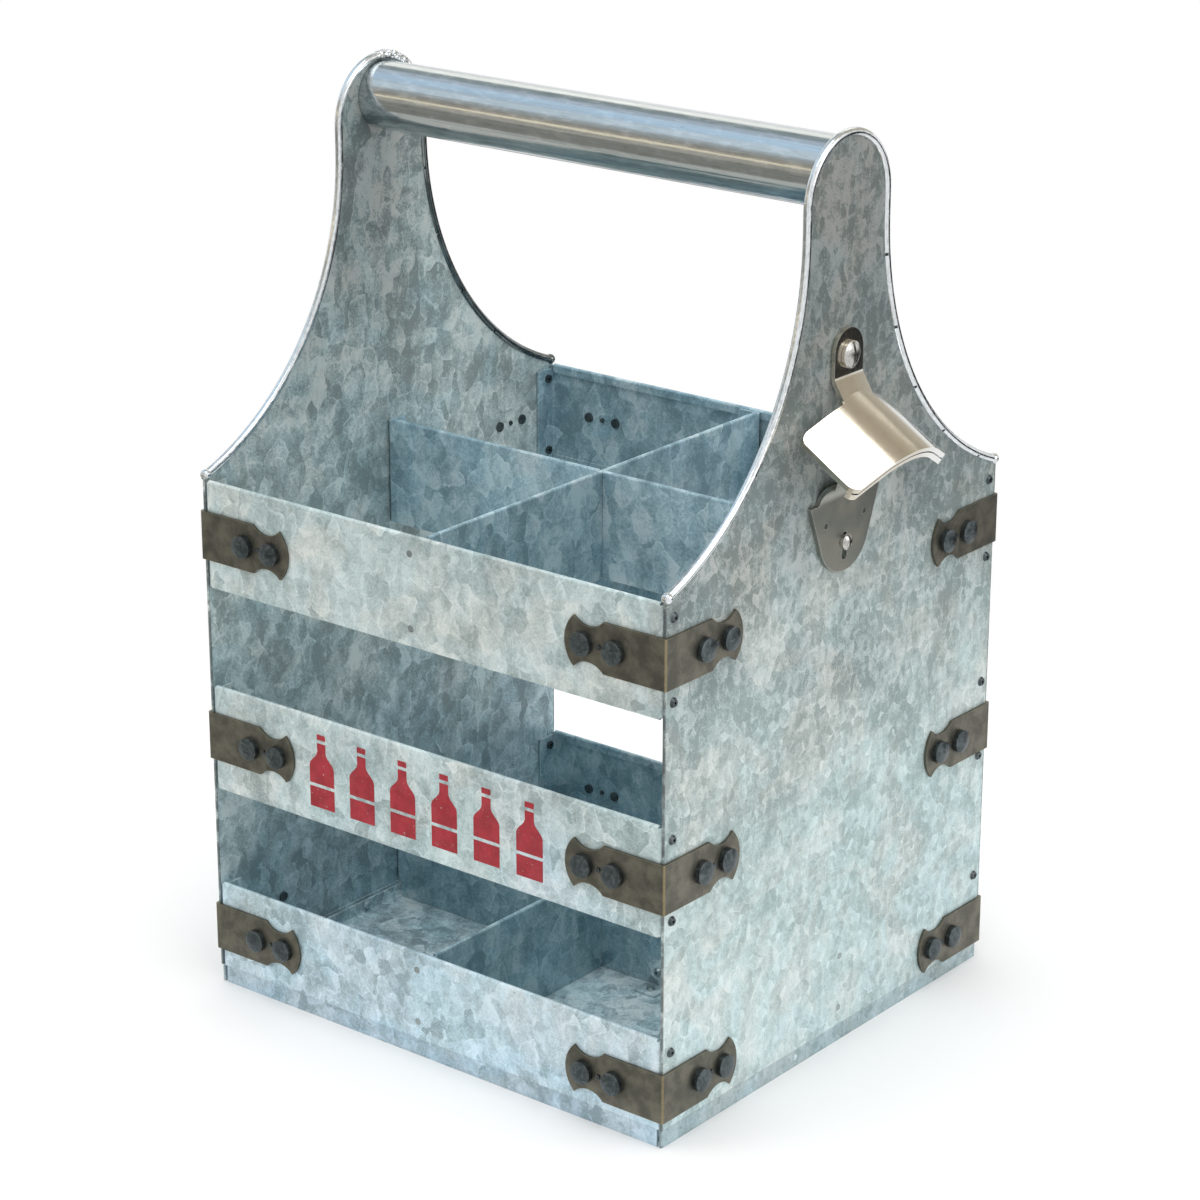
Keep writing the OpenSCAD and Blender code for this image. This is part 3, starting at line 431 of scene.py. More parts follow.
@dataclass(frozen=True)
class SpangledZinc(Finish):
    """Hot-dipped sheet: soft patches, curling strokes, ragged flakes, pale edges that are partly rubbed
    and partly painted highlight, dark seams, and painted shade in corners and towards the top.
    """

    dark: Colour = paint(150, 164, 163)
    middle: Colour = paint(188, 200, 198)
    light: Colour = paint(220, 226, 224)
    warm: Colour = paint(255, 251, 248)
    cool: Colour = paint(246, 253, 254)
    foot_tint: Colour = (1.06, 1.14, 1.3, 1.0)
    foot_zone: Range = (0.0, 0.12)
    # Darker towards the top: painted shade.
    neck_shade_tint: Colour = paint(180, 176, 174)
    neck_share: float = 0.0
    neck_zone: Range = (0.1, 0.25)
    neck_contrast: float = 1.0
    metallic: float = 0.3
    patch_mm: float = 9.0
    patches: Mask = Mask(0.34, 0.66, -0.16, 0.16)
    stroke_mm: float = 2.2
    stroke_swirl: float = 2.8
    strokes: Mask = Mask(0.36, 0.64, -0.15, 0.15)
    flake_mm: float = 4.6
    flake_squash: Point = (1.0, 1.0, 0.75)
    flake_tones: Mask = Mask(0.0, 1.0, -0.3, 0.24)
    flake_shade: float = 0.26
    flake_shade_reach: float = 0.16
    flake_rims: Mask = Mask(0.0, 0.1, 0.4, 0.0)
    rimmed_flakes: Mask = Mask(0.6, 0.75)
    large_share: float = 0.56
    small_share: float = 0.26
    small_size: float = 0.45
    warp_mm: float = 4.0
    warp_per_mm: float = 0.2
    warp_rough: float = 0.45
    contrast: float = 1.0
    clouds: Mask = Mask(*MOST, -0.12, 0.12)
    cloud_per_mm: float = 0.014
    wander: Mask = Mask(*MOST, -0.03, 0.03)
    wander_per_mm: float = 0.02
    hues: Mask = Mask(0.36, 0.64)
    hue_per_mm: float = 0.04
    hue_swirl: float = 0.8
    # Pale edges: partly rubbed, partly painted highlight.
    edge_mm: float = 0.45
    edge_turns: Mask = Mask(0.05, 0.3)
    edge_share: float = 0.5
    edge_colour: Colour = paint(232, 236, 235)
    # Painted shade in corners and seams, where another surface is close.
    corner_shade_mm: float = 1.8
    corner_shade: Mask = Mask(0.35, 0.95, strong=0.5)
    corner_shade_colour: Colour = paint(70, 80, 80)
    specks: Mask = Mask(0.72, 0.77, strong=0.3)
    speck_per_mm: float = 0.9
    speck_colour: Colour = paint(96, 104, 102)
    hem_mm: float = 0.0
    hem_tint: Colour = paint(222, 226, 230)
    hem_edge_mm: float = 0.3
    hem_line_mm: Range = (0.1, 0.4)
    hem_line_share: float = 0.25
    hem_line_colour: Colour = paint(92, 102, 106)
    seam_axis: int = 0
    seam_at: float = 0.0
    seam_mm: Range = (0.2, 0.6)
    seam_breaks: Mask = Mask(0.3, 0.55, 0.25, 0.8)
    seam_per_mm: float = 0.25
    seam_colour: Colour = paint(58, 66, 68)
    face_axis: int = 0
    face_at: float = 0.0
    # Lightens the outward face of a copy darkened as shade: painted light.
    lit_face_tint: Colour = (1.0, 1.0, 1.0, 1.0)
    face_inner_mm: float = 0.7
    face_outer_mm: float = 0.45
    roughness: Range = (0.36, 0.54)
    roughness_clouds: Mask = Mask(*MOST, -0.05, 0.05)
    roughness_per_mm: float = 0.06
    ripple_per_mm: float = 0.018
    ripple_mm: float = 0.5
    ripple_strength: float = 0.5
    stroke_height: float = 0.12

    def flakes(self, graph: Graph, size_mm: float, place: Input) -> bpy.types.NodeSocket:
        """Draws flakes of one size, each shaded across its own way, with a pale outline on a few.

        Args:
            graph: the material's graph.
            size_mm: how wide a flake is.
            place: where the flakes are read.

        Returns:
            Their tone, about 0 in the middle.
        """
        cells = graph.cells(1 / size_mm, place)
        chance = graph.apart(cells.outputs["Color"])
        lean = graph.vector("SUBTRACT", cells.outputs["Color"], HALF)
        inside = graph.vector("SUBTRACT", place, cells.outputs["Position"])
        reach = self.flake_shade_reach * size_mm * MM
        across = graph.vector("DOT_PRODUCT", inside, lean)
        shade = graph.span(across, -reach, reach, -self.flake_shade, self.flake_shade)
        border = graph.cells(1 / size_mm, place, "DISTANCE_TO_EDGE").outputs["Distance"]
        rimmed = graph.masked(chance[0], self.rimmed_flakes)
        rim = graph.maths("MULTIPLY", graph.masked(border, self.flake_rims), rimmed)
        tone = graph.maths("ADD", graph.masked(chance[1], self.flake_tones), shade)
        return graph.maths("ADD", tone, rim)

    def tone(self, graph: Graph) -> Tuple[bpy.types.NodeSocket, bpy.types.NodeSocket]:
        """Draws the sheet's tone of patches, strokes and flakes.

        Args:
            graph: the material's graph.

        Returns:
            The tone, about 0 in the middle, and the strokes alone.
        """
        wobble = graph.noise_node(self.warp_per_mm, detail=2.0, rough=self.warp_rough)
        drift = graph.vector("SUBTRACT", wobble.outputs["Color"], HALF)
        place = graph.vector("ADD", graph.place, graph.scaled(drift, self.warp_mm * MM))
        place = graph.vector("MULTIPLY", place, self.flake_squash)
        patch = graph.masked(graph.noise(1 / self.patch_mm, rough=0.5, at=place), self.patches)
        stroke = graph.noise(1 / self.stroke_mm, detail=2.5, swirl=self.stroke_swirl)
        large = graph.maths("MULTIPLY", self.flakes(graph, self.flake_mm, place), self.large_share)
        small_mm = self.flake_mm * self.small_size
        small = graph.maths("MULTIPLY", self.flakes(graph, small_mm, place), self.small_share)
        flake = graph.maths("ADD", large, small)
        tone = graph.maths("ADD", patch, graph.masked(stroke, self.strokes))
        tone = graph.maths("MULTIPLY", graph.maths("ADD", tone, flake), self.contrast)
        cloud = graph.masked(graph.noise(self.cloud_per_mm, detail=2.0), self.clouds)
        return graph.maths("ADD", tone, cloud), stroke

    def colour(self, graph: Graph) -> Tuple[bpy.types.NodeSocket, bpy.types.NodeSocket]:
        """Draws the zinc's colour.

        Args:
            graph: the material's graph.

        Returns:
            The colour and the strokes that its bump follows.
        """
        tone, stroke = self.tone(graph)
        wander = graph.masked(graph.noise(self.wander_per_mm), self.wander)
        height = graph.maths("ADD", graph.apart(graph.place)[2], wander)
        if self.neck_share > 0:
            sharper = graph.span(height, *self.neck_zone, 1.0, self.neck_contrast)
            tone = graph.maths("MULTIPLY", tone, sharper)
        tone = graph.maths("ADD", tone, 0.5)
        colour = graph.ramp(tone, [(0.0, self.dark), (0.5, self.middle), (1.0, self.light)])
        hue = graph.masked(graph.noise(self.hue_per_mm, swirl=self.hue_swirl), self.hues)
        colour = graph.tinted(colour, graph.mix(hue, self.warm, self.cool))
        # Tint towards the bottom; on the left panel and the inner pieces it darkens, as painted shade.
        foot = graph.tinted(colour, self.foot_tint)
        colour = graph.mix(graph.span(height, *self.foot_zone, 1.0, 0.0), colour, foot)
        # Darker towards the top: painted shade.
        if self.neck_share > 0:
            shaded_neck = graph.tinted(colour, self.neck_shade_tint)
            colour = graph.mix(graph.span(height, *self.neck_zone, 0.0, self.neck_share), colour, shaded_neck)
        # Outward face lightened: painted light on a copy darkened as shade.
        if self.face_at > 0:
            out = graph.maths("ABSOLUTE", graph.apart(graph.place)[self.face_axis])
            start = self.face_at - self.face_inner_mm * MM
            outside = graph.span(out, start, self.face_at - self.face_outer_mm * MM)
            colour = graph.mix(outside, colour, graph.tinted(colour, self.lit_face_tint))
        return colour, stroke

    def draw(self, graph: Graph) -> None:
        """Draws the sheet.

        Args:
            graph: the material's graph.
        """
        colour, stroke = self.colour(graph)
        # Pale edges: partly rubbed, partly painted highlight.
        pale = graph.edge_wear_and_highlight(self.edge_mm, stroke, self.edge_turns)
        colour = graph.mix(graph.maths("MULTIPLY", pale, self.edge_share), colour, self.edge_colour)
        # Painted shade: darker in corners and seams.
        corner_shade = graph.masked(graph.corners(self.corner_shade_mm), self.corner_shade)
        colour = graph.mix(corner_shade, colour, self.corner_shade_colour)
        speck = graph.masked(graph.noise(self.speck_per_mm, detail=2.0), self.specks)
        colour = graph.mix(speck, colour, self.speck_colour)
        if self.hem_mm > 0:
            colour = self.hem(graph, colour)
        if self.seam_at > 0:
            colour = self.seam(graph, colour)
        smooth, rough = self.roughness
        roughness = graph.maths(
            "ADD",
            graph.span(stroke, *MOST, rough, smooth),
            graph.masked(graph.noise(self.roughness_per_mm), self.roughness_clouds),
        )
        graph.surface(colour, roughness, self.metallic)
        fine = graph.maths("MULTIPLY", stroke, self.stroke_height)
        ripple = graph.maths("ADD", graph.noise(self.ripple_per_mm, detail=1.0), fine)
        graph.bumped(ripple, self.ripple_mm, self.ripple_strength)

    def seam(self, graph: Graph, colour: Input) -> bpy.types.NodeSocket:
        """Draws a broken dark line in the upright joint between a slat and an end panel.

        Args:
            graph: the material's graph.
            colour: the sheet's colour.

        Returns:
            The colour with the dark line on it.
        """
        out = graph.maths("ABSOLUTE", graph.apart(graph.place)[self.seam_axis])
        away = graph.maths("SUBTRACT", self.seam_at, out)
        broken = graph.masked(graph.noise(self.seam_per_mm), self.seam_breaks)
        first, last = self.seam_mm
        near = graph.span(away, first * MM, last * MM, 1.0, 0.0)
        return graph.mix(graph.maths("MULTIPLY", near, broken), colour, self.seam_colour)

    def hem(self, graph: Graph, colour: Input) -> bpy.types.NodeSocket:
        """Draws the set-in foot band: a duller strip under a fine dark line.

        Args:
            graph: the material's graph.
            colour: the sheet's colour.

        Returns:
            The colour with the band on it.
        """
        up = graph.maths("SUBTRACT", graph.apart(graph.place)[2], self.hem_mm * MM)
        strip = graph.span(up, -self.hem_edge_mm * MM, self.hem_edge_mm * MM)
        colour = graph.mix(strip, graph.tinted(colour, self.hem_tint), colour)
        first, last = self.hem_line_mm
        away = graph.maths("ABSOLUTE", up)
        line = graph.span(away, first * MM, last * MM, self.hem_line_share, 0.0)
        return graph.mix(line, colour, self.hem_line_colour)


@dataclass(frozen=True)
class BrightTrim(Finish):
    """Polished split tube with fine scratches, small dents and painted shade in the groove along it."""

    base: Colour = paint(226, 230, 232)
    dull: Colour = paint(140, 148, 150)
    scratches: Mask = Mask(0.35, 0.8, strong=0.5)
    scratch_per_mm: Point = (3.0, 0.5, 0.5)
    # Painted shade in the groove along the trim, where another surface is close.
    crease_shade_mm: float = 0.9
    crease_shade: Mask = Mask(0.45, 0.95, strong=0.8)
    crease_shade_colour: Colour = paint(58, 62, 62)
    # Painted shade on the back run of the trim, broken up in patches.
    back_shade_share: float = 0.0
    back_shade_from: Range = (0.013, 0.019)
    back_shade_per_mm: float = 0.12
    back_shade_patches: Mask = Mask(0.3, 0.6, 0.75, 1.0)
    back_shade_colour: Colour = paint(84, 92, 92)
    dent_per_mm: float = 0.35
    dent_mm: float = 0.12
    dent_strength: float = 0.6
    roughness: Range = (0.12, 0.28)

    def draw(self, graph: Graph) -> None:
        """Draws the trim, and the painted shade on its back run.

        Args:
            graph: the material's graph.
        """
        dents = graph.noise(self.dent_per_mm, detail=2.0)
        scratch = graph.stretched(self.scratch_per_mm, detail=3.0)
        colour = graph.mix(graph.masked(scratch, self.scratches), self.base, self.dull)
        # Painted shade: darker in the groove along the trim.
        crease_shade = graph.masked(graph.corners(self.crease_shade_mm), self.crease_shade)
        colour = graph.mix(crease_shade, colour, self.crease_shade_colour)
        # Painted shade: darker on the back run, in patches.
        if self.back_shade_share > 0:
            back = graph.span(graph.apart(graph.place)[1], *self.back_shade_from, 0.0, self.back_shade_share)
            patchy = graph.masked(graph.noise(self.back_shade_per_mm), self.back_shade_patches)
            colour = graph.mix(graph.maths("MULTIPLY", back, patchy), colour, self.back_shade_colour)
        graph.surface(colour, graph.span(dents, *MOST, *self.roughness), METAL)
        graph.bumped(dents, self.dent_mm, self.dent_strength)


@dataclass(frozen=True)
class DrawnSteel(Finish):
    """Drawn tube with streaks along its length, frosty mottling, hairlines and painted shade at its ends.
    """

    base: Colour = paint(198, 204, 206)
    streak: Colour = paint(150, 154, 156)
    frost: Colour = paint(224, 228, 230)
    streak_per_mm: Point = (0.006, 0.5, 0.5)
    streaks: Mask = Mask(0.45, 0.7, strong=0.4)
    mottle_per_mm: Point = (0.16, 0.6, 0.6)
    frosty: Mask = Mask(0.5, 0.66, strong=0.4)
    dull_spots: Mask = Mask(0.3, 0.42, 0.25, 0.0)
    hair_per_mm: Point = (0.03, 4.0, 4.0)
    hairlines: Mask = Mask(0.6, 0.75, strong=0.3)
    hair_colour: Colour = paint(104, 108, 110)
    # Painted shade at the tube's ends, where the end panels are close.
    corner_shade_mm: float = 2.6
    corner_shade: Mask = Mask(0.3, 0.9, strong=0.75)
    corner_shade_colour: Colour = paint(44, 48, 48)
    roughness: Range = (0.08, 0.16)
    mottled_roughness: Mask = Mask(*MOST, -0.02, 0.06)
    mottle_height: float = 2.0
    draw_mm: float = 0.02
    draw_strength: float = 0.35

    def draw(self, graph: Graph) -> None:
        """Draws the tube.

        Args:
            graph: the material's graph.
        """
        long = graph.stretched(self.streak_per_mm, detail=3.0)
        hair = graph.stretched(self.hair_per_mm)
        mottle = graph.stretched(self.mottle_per_mm, detail=5.0)
        colour = graph.mix(graph.masked(long, self.streaks), self.base, self.streak)
        colour = graph.mix(graph.masked(mottle, self.frosty), colour, self.frost)
        colour = graph.mix(graph.masked(mottle, self.dull_spots), colour, self.streak)
        colour = graph.mix(graph.masked(hair, self.hairlines), colour, self.hair_colour)
        # Painted shade: darker at the ends, where the panels are close.
        corner_shade = graph.masked(graph.corners(self.corner_shade_mm), self.corner_shade)
        colour = graph.mix(corner_shade, colour, self.corner_shade_colour)
        smoothness = graph.span(long, *MOST, *self.roughness)
        roughness = graph.maths("ADD", smoothness, graph.masked(mottle, self.mottled_roughness))
        graph.surface(colour, roughness, METAL)
        height = graph.maths("ADD", hair, graph.maths("MULTIPLY", mottle, self.mottle_height))
        graph.bumped(height, self.draw_mm, self.draw_strength)


@dataclass(frozen=True)
class AgedStrap(Finish):
    """Dark brown plated steel, rubbed to brass along its edges and its fold."""

    dark: Colour = paint(88, 87, 79)
    brown: Colour = paint(118, 115, 103)
    brass: Colour = paint(150, 136, 104)
    cloud_per_mm: float = 0.16
    clouds: Mask = Mask(0.35, 0.68)
    fine_per_mm: float = 1.4
    edge_mm: float = 0.45
    edge_turns: Mask = Mask(0.08, 0.35)
    edge_share: float = 0.8
    fold: Range = (0.0, 0.0)
    fold_mm: Range = (0.75, 0.4)
    fold_breaks: Mask = Mask(0.3, 0.6, 0.45, 0.9)
    scuff_per_mm: Point = (0.5, 0.5, 2.4)
    scuffs: Mask = Mask(0.66, 0.76, strong=0.2)
    # Painted shade round the rivets and along the strap's edges, where another surface is close.
    ring_shade_mm: float = 1.6
    ring_shade: Mask = Mask(0.35, 0.9, strong=0.7)
    ring_shade_colour: Colour = paint(28, 28, 27)
    metallic: float = 0.8
    roughness: Range = (0.34, 0.5)
    cloud_height: float = 0.6
    fine_height: float = 0.3
    bump_mm: float = 0.12
    bump_strength: float = 0.5

    def fold_line(self, graph: Graph, fine: Input) -> bpy.types.NodeSocket:
        """Finds the upright corner that the strap is folded round.

        Args:
            graph: the material's graph.
            fine: noise that breaks the line up.

        Returns:
            A mask, strong on the fold.
        """
        first, last = self.fold_mm
        sides = [graph.maths("ABSOLUTE", part) for part in graph.apart(graph.place)[:2]]
        close = [graph.span(side, at - first * MM, at - last * MM) for side, at in zip(sides, self.fold)]
        line = graph.maths("MULTIPLY", *close)
        return graph.maths("MULTIPLY", line, graph.masked(fine, self.fold_breaks))

    def draw(self, graph: Graph) -> None:
        """Draws the strap, with a brass line down its fold.

        Args:
            graph: the material's graph.
        """
        cloud = graph.noise(self.cloud_per_mm, detail=5.0, rough=0.6)
        fine = graph.noise(self.fine_per_mm)
        colour = graph.mix(graph.masked(cloud, self.clouds), self.dark, self.brown)
        rubbed_and_lit_edges = graph.edge_wear_and_highlight(self.edge_mm, fine, self.edge_turns)
        colour = graph.mix(graph.maths("MULTIPLY", rubbed_and_lit_edges, self.edge_share), colour, self.brass)
        colour = graph.mix(self.fold_line(graph, fine), colour, self.brass)
        scuff = graph.masked(graph.stretched(self.scuff_per_mm, detail=3.0), self.scuffs)
        colour = graph.mix(scuff, colour, self.brass)
        # Painted shade: dark round the rivets.
        ring_shade = graph.masked(graph.corners(self.ring_shade_mm), self.ring_shade)
        colour = graph.mix(ring_shade, colour, self.ring_shade_colour)
        graph.surface(colour, graph.span(fine, *MOST, *self.roughness), self.metallic)
        low = graph.maths("MULTIPLY", cloud, self.cloud_height)
        height = graph.maths("ADD", low, graph.maths("MULTIPLY", fine, self.fine_height))
        graph.bumped(height, self.bump_mm, self.bump_strength)


@dataclass(frozen=True)
class DarkRivet(Finish):
    """Blackened rivet steel with a rubbed crown."""

    dark: Colour = paint(58, 66, 68)
    rubbed: Colour = paint(120, 128, 132)
    rub_per_mm: float = 0.5
    rub: Mask = Mask(0.35, 0.75, 0.1, 0.55)
    edge_mm: float = 0.5
    edge_turns: Mask = Mask(0.08, 0.4)
    edge_share: float = 0.5
    edge_colour: Colour = paint(150, 154, 152)
    # Painted shade round the foot of each head.
    ring_shade_mm: float = 1.2
    ring_shade: Mask = Mask(0.4, 0.95, strong=0.75)
    ring_shade_colour: Colour = paint(24, 26, 27)
    metallic: float = 0.9
    roughness: Range = (0.3, 0.42)
    bump_mm: float = 0.07
    bump_strength: float = 0.5

    def draw(self, graph: Graph) -> None:
        """Draws the rivets.

        Args:
            graph: the material's graph.
        """
        fine = graph.noise(self.rub_per_mm, swirl=1.0)
        colour = graph.mix(graph.masked(fine, self.rub), self.dark, self.rubbed)
        rubbed_and_lit_edges = graph.edge_wear_and_highlight(self.edge_mm, fine, self.edge_turns)
        colour = graph.mix(graph.maths("MULTIPLY", rubbed_and_lit_edges, self.edge_share), colour, self.edge_colour)
        # Painted shade: dark round the foot of each head.
        ring_shade = graph.masked(graph.corners(self.ring_shade_mm), self.ring_shade)
        colour = graph.mix(ring_shade, colour, self.ring_shade_colour)
        graph.surface(colour, graph.span(fine, *MOST, *self.roughness), self.metallic)
        graph.bumped(fine, self.bump_mm, self.bump_strength)


@dataclass(frozen=True)
class WarmNickel(Finish):
    """Warm nickel plate: bright with hairlines, or satin, with polished edges that also carry a painted
    highlight.
    """

    base: Colour = paint(208, 203, 194)
    tan: Colour = paint(176, 168, 154)
    cloud_per_mm: float = 0.12
    tan_clouds: Mask = Mask(0.35, 0.7, strong=0.35)
    hair_per_mm: Point = (1.4, 3.2, 1.4)
    hair_range: Range = (0.54, 0.7)
    hair_share: float = 0.14
    hair_colour: Colour = paint(140, 134, 124)
    # Painted reflection: paler and cooler towards the back.
    cool_reflection_zone: Range = (-0.002, 0.014)
    cool_reflection_share: float = 0.0
    cool_reflection_colour: Colour = paint(232, 236, 236)
    edge_mm: float = 0.5
    edge_turns: Mask = Mask(0.04, 0.2)
    edge_share: float = 0.8
    edge: Colour = paint(240, 238, 234)
    # Painted shade in corners and recesses, where another surface is close.
    recess_shade_mm: float = 1.4
    recess_shade: Mask = Mask(0.45, 0.95, strong=0.7)
    recess_shade_colour: Colour = paint(46, 44, 42)
    cloud_share: float = 0.5
    gloss_range: Range = (0.5, 1.0)
    roughness: Range = (0.13, 0.24)
    bump_mm: float = 0.03
    bump_strength: float = 0.4

    def draw(self, graph: Graph) -> None:
        """Draws the plate.

        Args:
            graph: the material's graph.
        """
        hair = graph.stretched(self.hair_per_mm, detail=4.0)
        cloud = graph.noise(self.cloud_per_mm)
        colour = graph.mix(graph.masked(cloud, self.tan_clouds), self.base, self.tan)
        hairline = graph.span(hair, *self.hair_range, 0.0, self.hair_share)
        colour = graph.mix(hairline, colour, self.hair_colour)
        # Painted reflection: paler and cooler towards the back.
        painted_cool_reflection = graph.span(graph.apart(graph.place)[1], *self.cool_reflection_zone, 0.0, self.cool_reflection_share)
        colour = graph.mix(painted_cool_reflection, colour, self.cool_reflection_colour)
        # Pale edges: polish and painted highlight.
        rubbed_and_lit_edges = graph.edge_wear_and_highlight(self.edge_mm, cloud, self.edge_turns)
        colour = graph.mix(graph.maths("MULTIPLY", rubbed_and_lit_edges, self.edge_share), colour, self.edge)
        # Painted shade: darker in corners and recesses.
        recess_shade = graph.masked(graph.corners(self.recess_shade_mm), self.recess_shade)
        colour = graph.mix(recess_shade, colour, self.recess_shade_colour)
        both = graph.maths("ADD", hair, graph.maths("MULTIPLY", cloud, self.cloud_share))
        graph.surface(colour, graph.span(both, *self.gloss_range, *self.roughness), METAL)
        graph.bumped(graph.maths("ADD", hair, cloud), self.bump_mm, self.bump_strength)


@dataclass(frozen=True)
class PlatedScrew(Finish):
    """Bright zinc-plated screw steel with painted shade in its slot."""

    base: Colour = paint(196, 194, 190)
    dull: Colour = paint(128, 126, 122)
    fine_per_mm: float = 1.2
    dull_spots: Mask = Mask(0.4, 0.7, strong=0.5)
    # Painted shade in the slot, where another surface is close.
    slot_mm: float = 0.8
    slot: Mask = Mask(0.4, 0.9, strong=0.85)
    slot_shade_colour: Colour = paint(30, 30, 30)
    roughness: Range = (0.16, 0.32)
    bump_mm: float = 0.06
    bump_strength: float = 0.5

    def draw(self, graph: Graph) -> None:
        """Draws the screw.

        Args:
            graph: the material's graph.
        """
        fine = graph.noise(self.fine_per_mm)
        colour = graph.mix(graph.masked(fine, self.dull_spots), self.base, self.dull)
        # Painted shade: dark in the slot.
        slot = graph.masked(graph.corners(self.slot_mm), self.slot)
        colour = graph.mix(slot, colour, self.slot_shade_colour)
        graph.surface(colour, graph.span(fine, *MOST, *self.roughness), METAL)
        graph.bumped(fine, self.bump_mm, self.bump_strength)


@dataclass(frozen=True)
class StencilPaint(SpangledZinc):
    """Thin red stencil paint over the zinc, worn through in specks."""

    red: Colour = paint(164, 26, 42)
    deep: Colour = paint(142, 20, 34)
    depth_per_mm: float = 0.25
    depths: Mask = Mask(0.35, 0.7)
    shine_through: float = 0.03
    worn_per_mm: float = 0.8
    worn: Mask = Mask(0.66, 0.7)
    worn_share: float = 0.8
    gloss: float = 0.25
    paint_roughness: Range = (0.5, 0.68)
    paint_mm: float = 0.03
    paint_strength: float = 0.4

    def draw(self, graph: Graph) -> None:
        """Draws the paint, and the zinc that shows through it.

        Args:
            graph: the material's graph.
        """
        zinc = self.colour(graph)[0]
        cloud = graph.noise(self.depth_per_mm, detail=4.0)
        colour = graph.mix(graph.masked(cloud, self.depths), self.red, self.deep)
        colour = graph.mix(self.shine_through, colour, zinc)
        worn = graph.masked(graph.noise(self.worn_per_mm, detail=4.0, rough=0.7), self.worn)
        colour = graph.mix(graph.maths("MULTIPLY", worn, self.worn_share), colour, zinc)
        graph.surface(colour, graph.span(cloud, *MOST, *self.paint_roughness), NO_METAL)
        graph.feed(graph.shader.inputs["Specular IOR Level"], self.gloss)
        graph.bumped(graph.maths("ADD", cloud, worn), self.paint_mm, self.paint_strength)


OUTER_ZINC = SpangledZinc(
    "zinc_outer",
    dark=paint(150, 164, 164),
    middle=paint(190, 203, 203),
    light=paint(222, 230, 229),
    foot_tint=(1.0, 1.1, 1.24, 1.0),
    flake_mm=6.0,
    contrast=1.0,
    hem_mm=6.0,
    hem_tint=paint(240, 240, 242),
)
PANEL_ZINC = SpangledZinc(
    "zinc_panel",
    dark=paint(158, 173, 172),
    middle=paint(194, 208, 207),
    light=paint(222, 231, 230),
    foot_tint=(1.04, 1.07, 1.1, 1.0),
    # Painted shade towards the top.
    neck_shade_tint=paint(173, 170, 169),
    neck_share=1.0,
    neck_zone=(0.08, 0.23),
    neck_contrast=2.6,
    patch_mm=8.0,
    stroke_mm=1.5,
    flake_mm=3.6,
    warp_mm=3.0,
    contrast=0.9,
    hem_mm=6.0,
    hem_tint=paint(222, 226, 230),
)
# Darker, bluer copy of the zinc for the left panel, whose inner face lies in shade: painted shade, with
# the outer face lightened again.
SHADED_LEFT_ZINC = SpangledZinc(
    "zinc_left_shaded",
    dark=paint(140, 156, 158),
    middle=paint(174, 194, 197),
    light=paint(218, 230, 230),
    # Darker towards the bottom: painted shade.
    foot_tint=(0.7, 0.8, 0.88, 1.0),
    # Painted shade towards the top.
    neck_share=0.85,
    neck_zone=(0.16, 0.27),
    neck_contrast=1.5,
    lit_face_tint=(1.3, 1.2, 1.14, 1.0),
    metallic=0.1,
    patch_mm=11.0,
    stroke_mm=2.0,
    flake_mm=6.5,
    contrast=1.35,
)
# Darker, bluer copy of the zinc for pieces seen from inside: painted shade, with their outward faces
# lightened again.
SHADED_INNER_ZINC = SpangledZinc(
    "zinc_inner_shaded",
    dark=paint(120, 148, 161),
    middle=paint(152, 181, 194),
    light=paint(192, 213, 221),
    # Darker towards the bottom: painted shade.
    foot_tint=(0.86, 0.88, 0.88, 1.0),
    lit_face_tint=(1.6, 1.3, 1.14, 1.0),
    metallic=0.1,
    patch_mm=12.0,
    stroke_mm=2.4,
    flake_mm=7.0,
    contrast=1.2,
)
FLOOR_ZINC = SpangledZinc(
    "zinc_floor",
    dark=paint(126, 146, 154),
    middle=paint(166, 188, 196),
    light=paint(206, 221, 226),
    foot_tint=(1.1, 1.1, 1.1, 1.0),
    metallic=0.1,
    flake_mm=7.0,
    contrast=1.4,
)
TRIM_METAL = BrightTrim("trim_bright")
# Trim with painted shade on its back run.
SHADED_BACK_TRIM = BrightTrim("trim_back_shaded", back_shade_share=0.9)
TUBE_STEEL = DrawnSteel("tube_drawn")
STRAP_METAL = AgedStrap("strap_aged")
RIVET_STEEL = DarkRivet("rivet_dark")
DULL_RIVET = DarkRivet("rivet_dull", dark=paint(152, 164, 165), rubbed=paint(186, 196, 196))
# The hood carries a painted reflection, paler and cooler towards the back.
HOOD_NICKEL = WarmNickel("opener_bright", base=paint(204, 197, 182), cool_reflection_share=0.75)
CATCH_NICKEL = WarmNickel(
    "opener_satin",
    base=paint(146, 149, 142),
    # Pale edges: polish and painted highlight.
    edge=paint(240, 239, 236),
    hair_share=0.2,
    roughness=(0.3, 0.42),
)
SCREW_METAL = PlatedScrew("screw_plated")
RED_PAINT = StencilPaint("stencil_red")


def coat(nodes: Sequence[str], finish: Finish) -> None:
    """Puts a finish on every material slot of some CAD nodes.

    Args:
        nodes: the nodes' names.
        finish: the finish they share.
    """
    material = finish.make()
    for name in nodes:
        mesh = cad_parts[name].data
        if not mesh.materials:
            mesh.materials.append(material)
        for index in range(len(mesh.materials)):
            mesh.materials[index] = material
    log.info("%s: %d CAD nodes", finish.name, len(nodes))


def piece(name: str, mesh: bpy.types.Mesh, finish: Finish) -> bpy.types.Object:
    """Makes an object of a mesh that rides on the caddy.

    Args:
        name: the piece's name.
        mesh: its mesh, in metres in the caddy's frame.
        finish: its finish.

    Returns:
        The new object.
    """
    mesh.materials.append(finish.make())
    made = bpy.data.objects.new(name, mesh)
    bpy.context.scene.collection.objects.link(made)
    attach(made, ROOT)
    log.info("%s: %d faces", name, len(mesh.polygons))
    return made


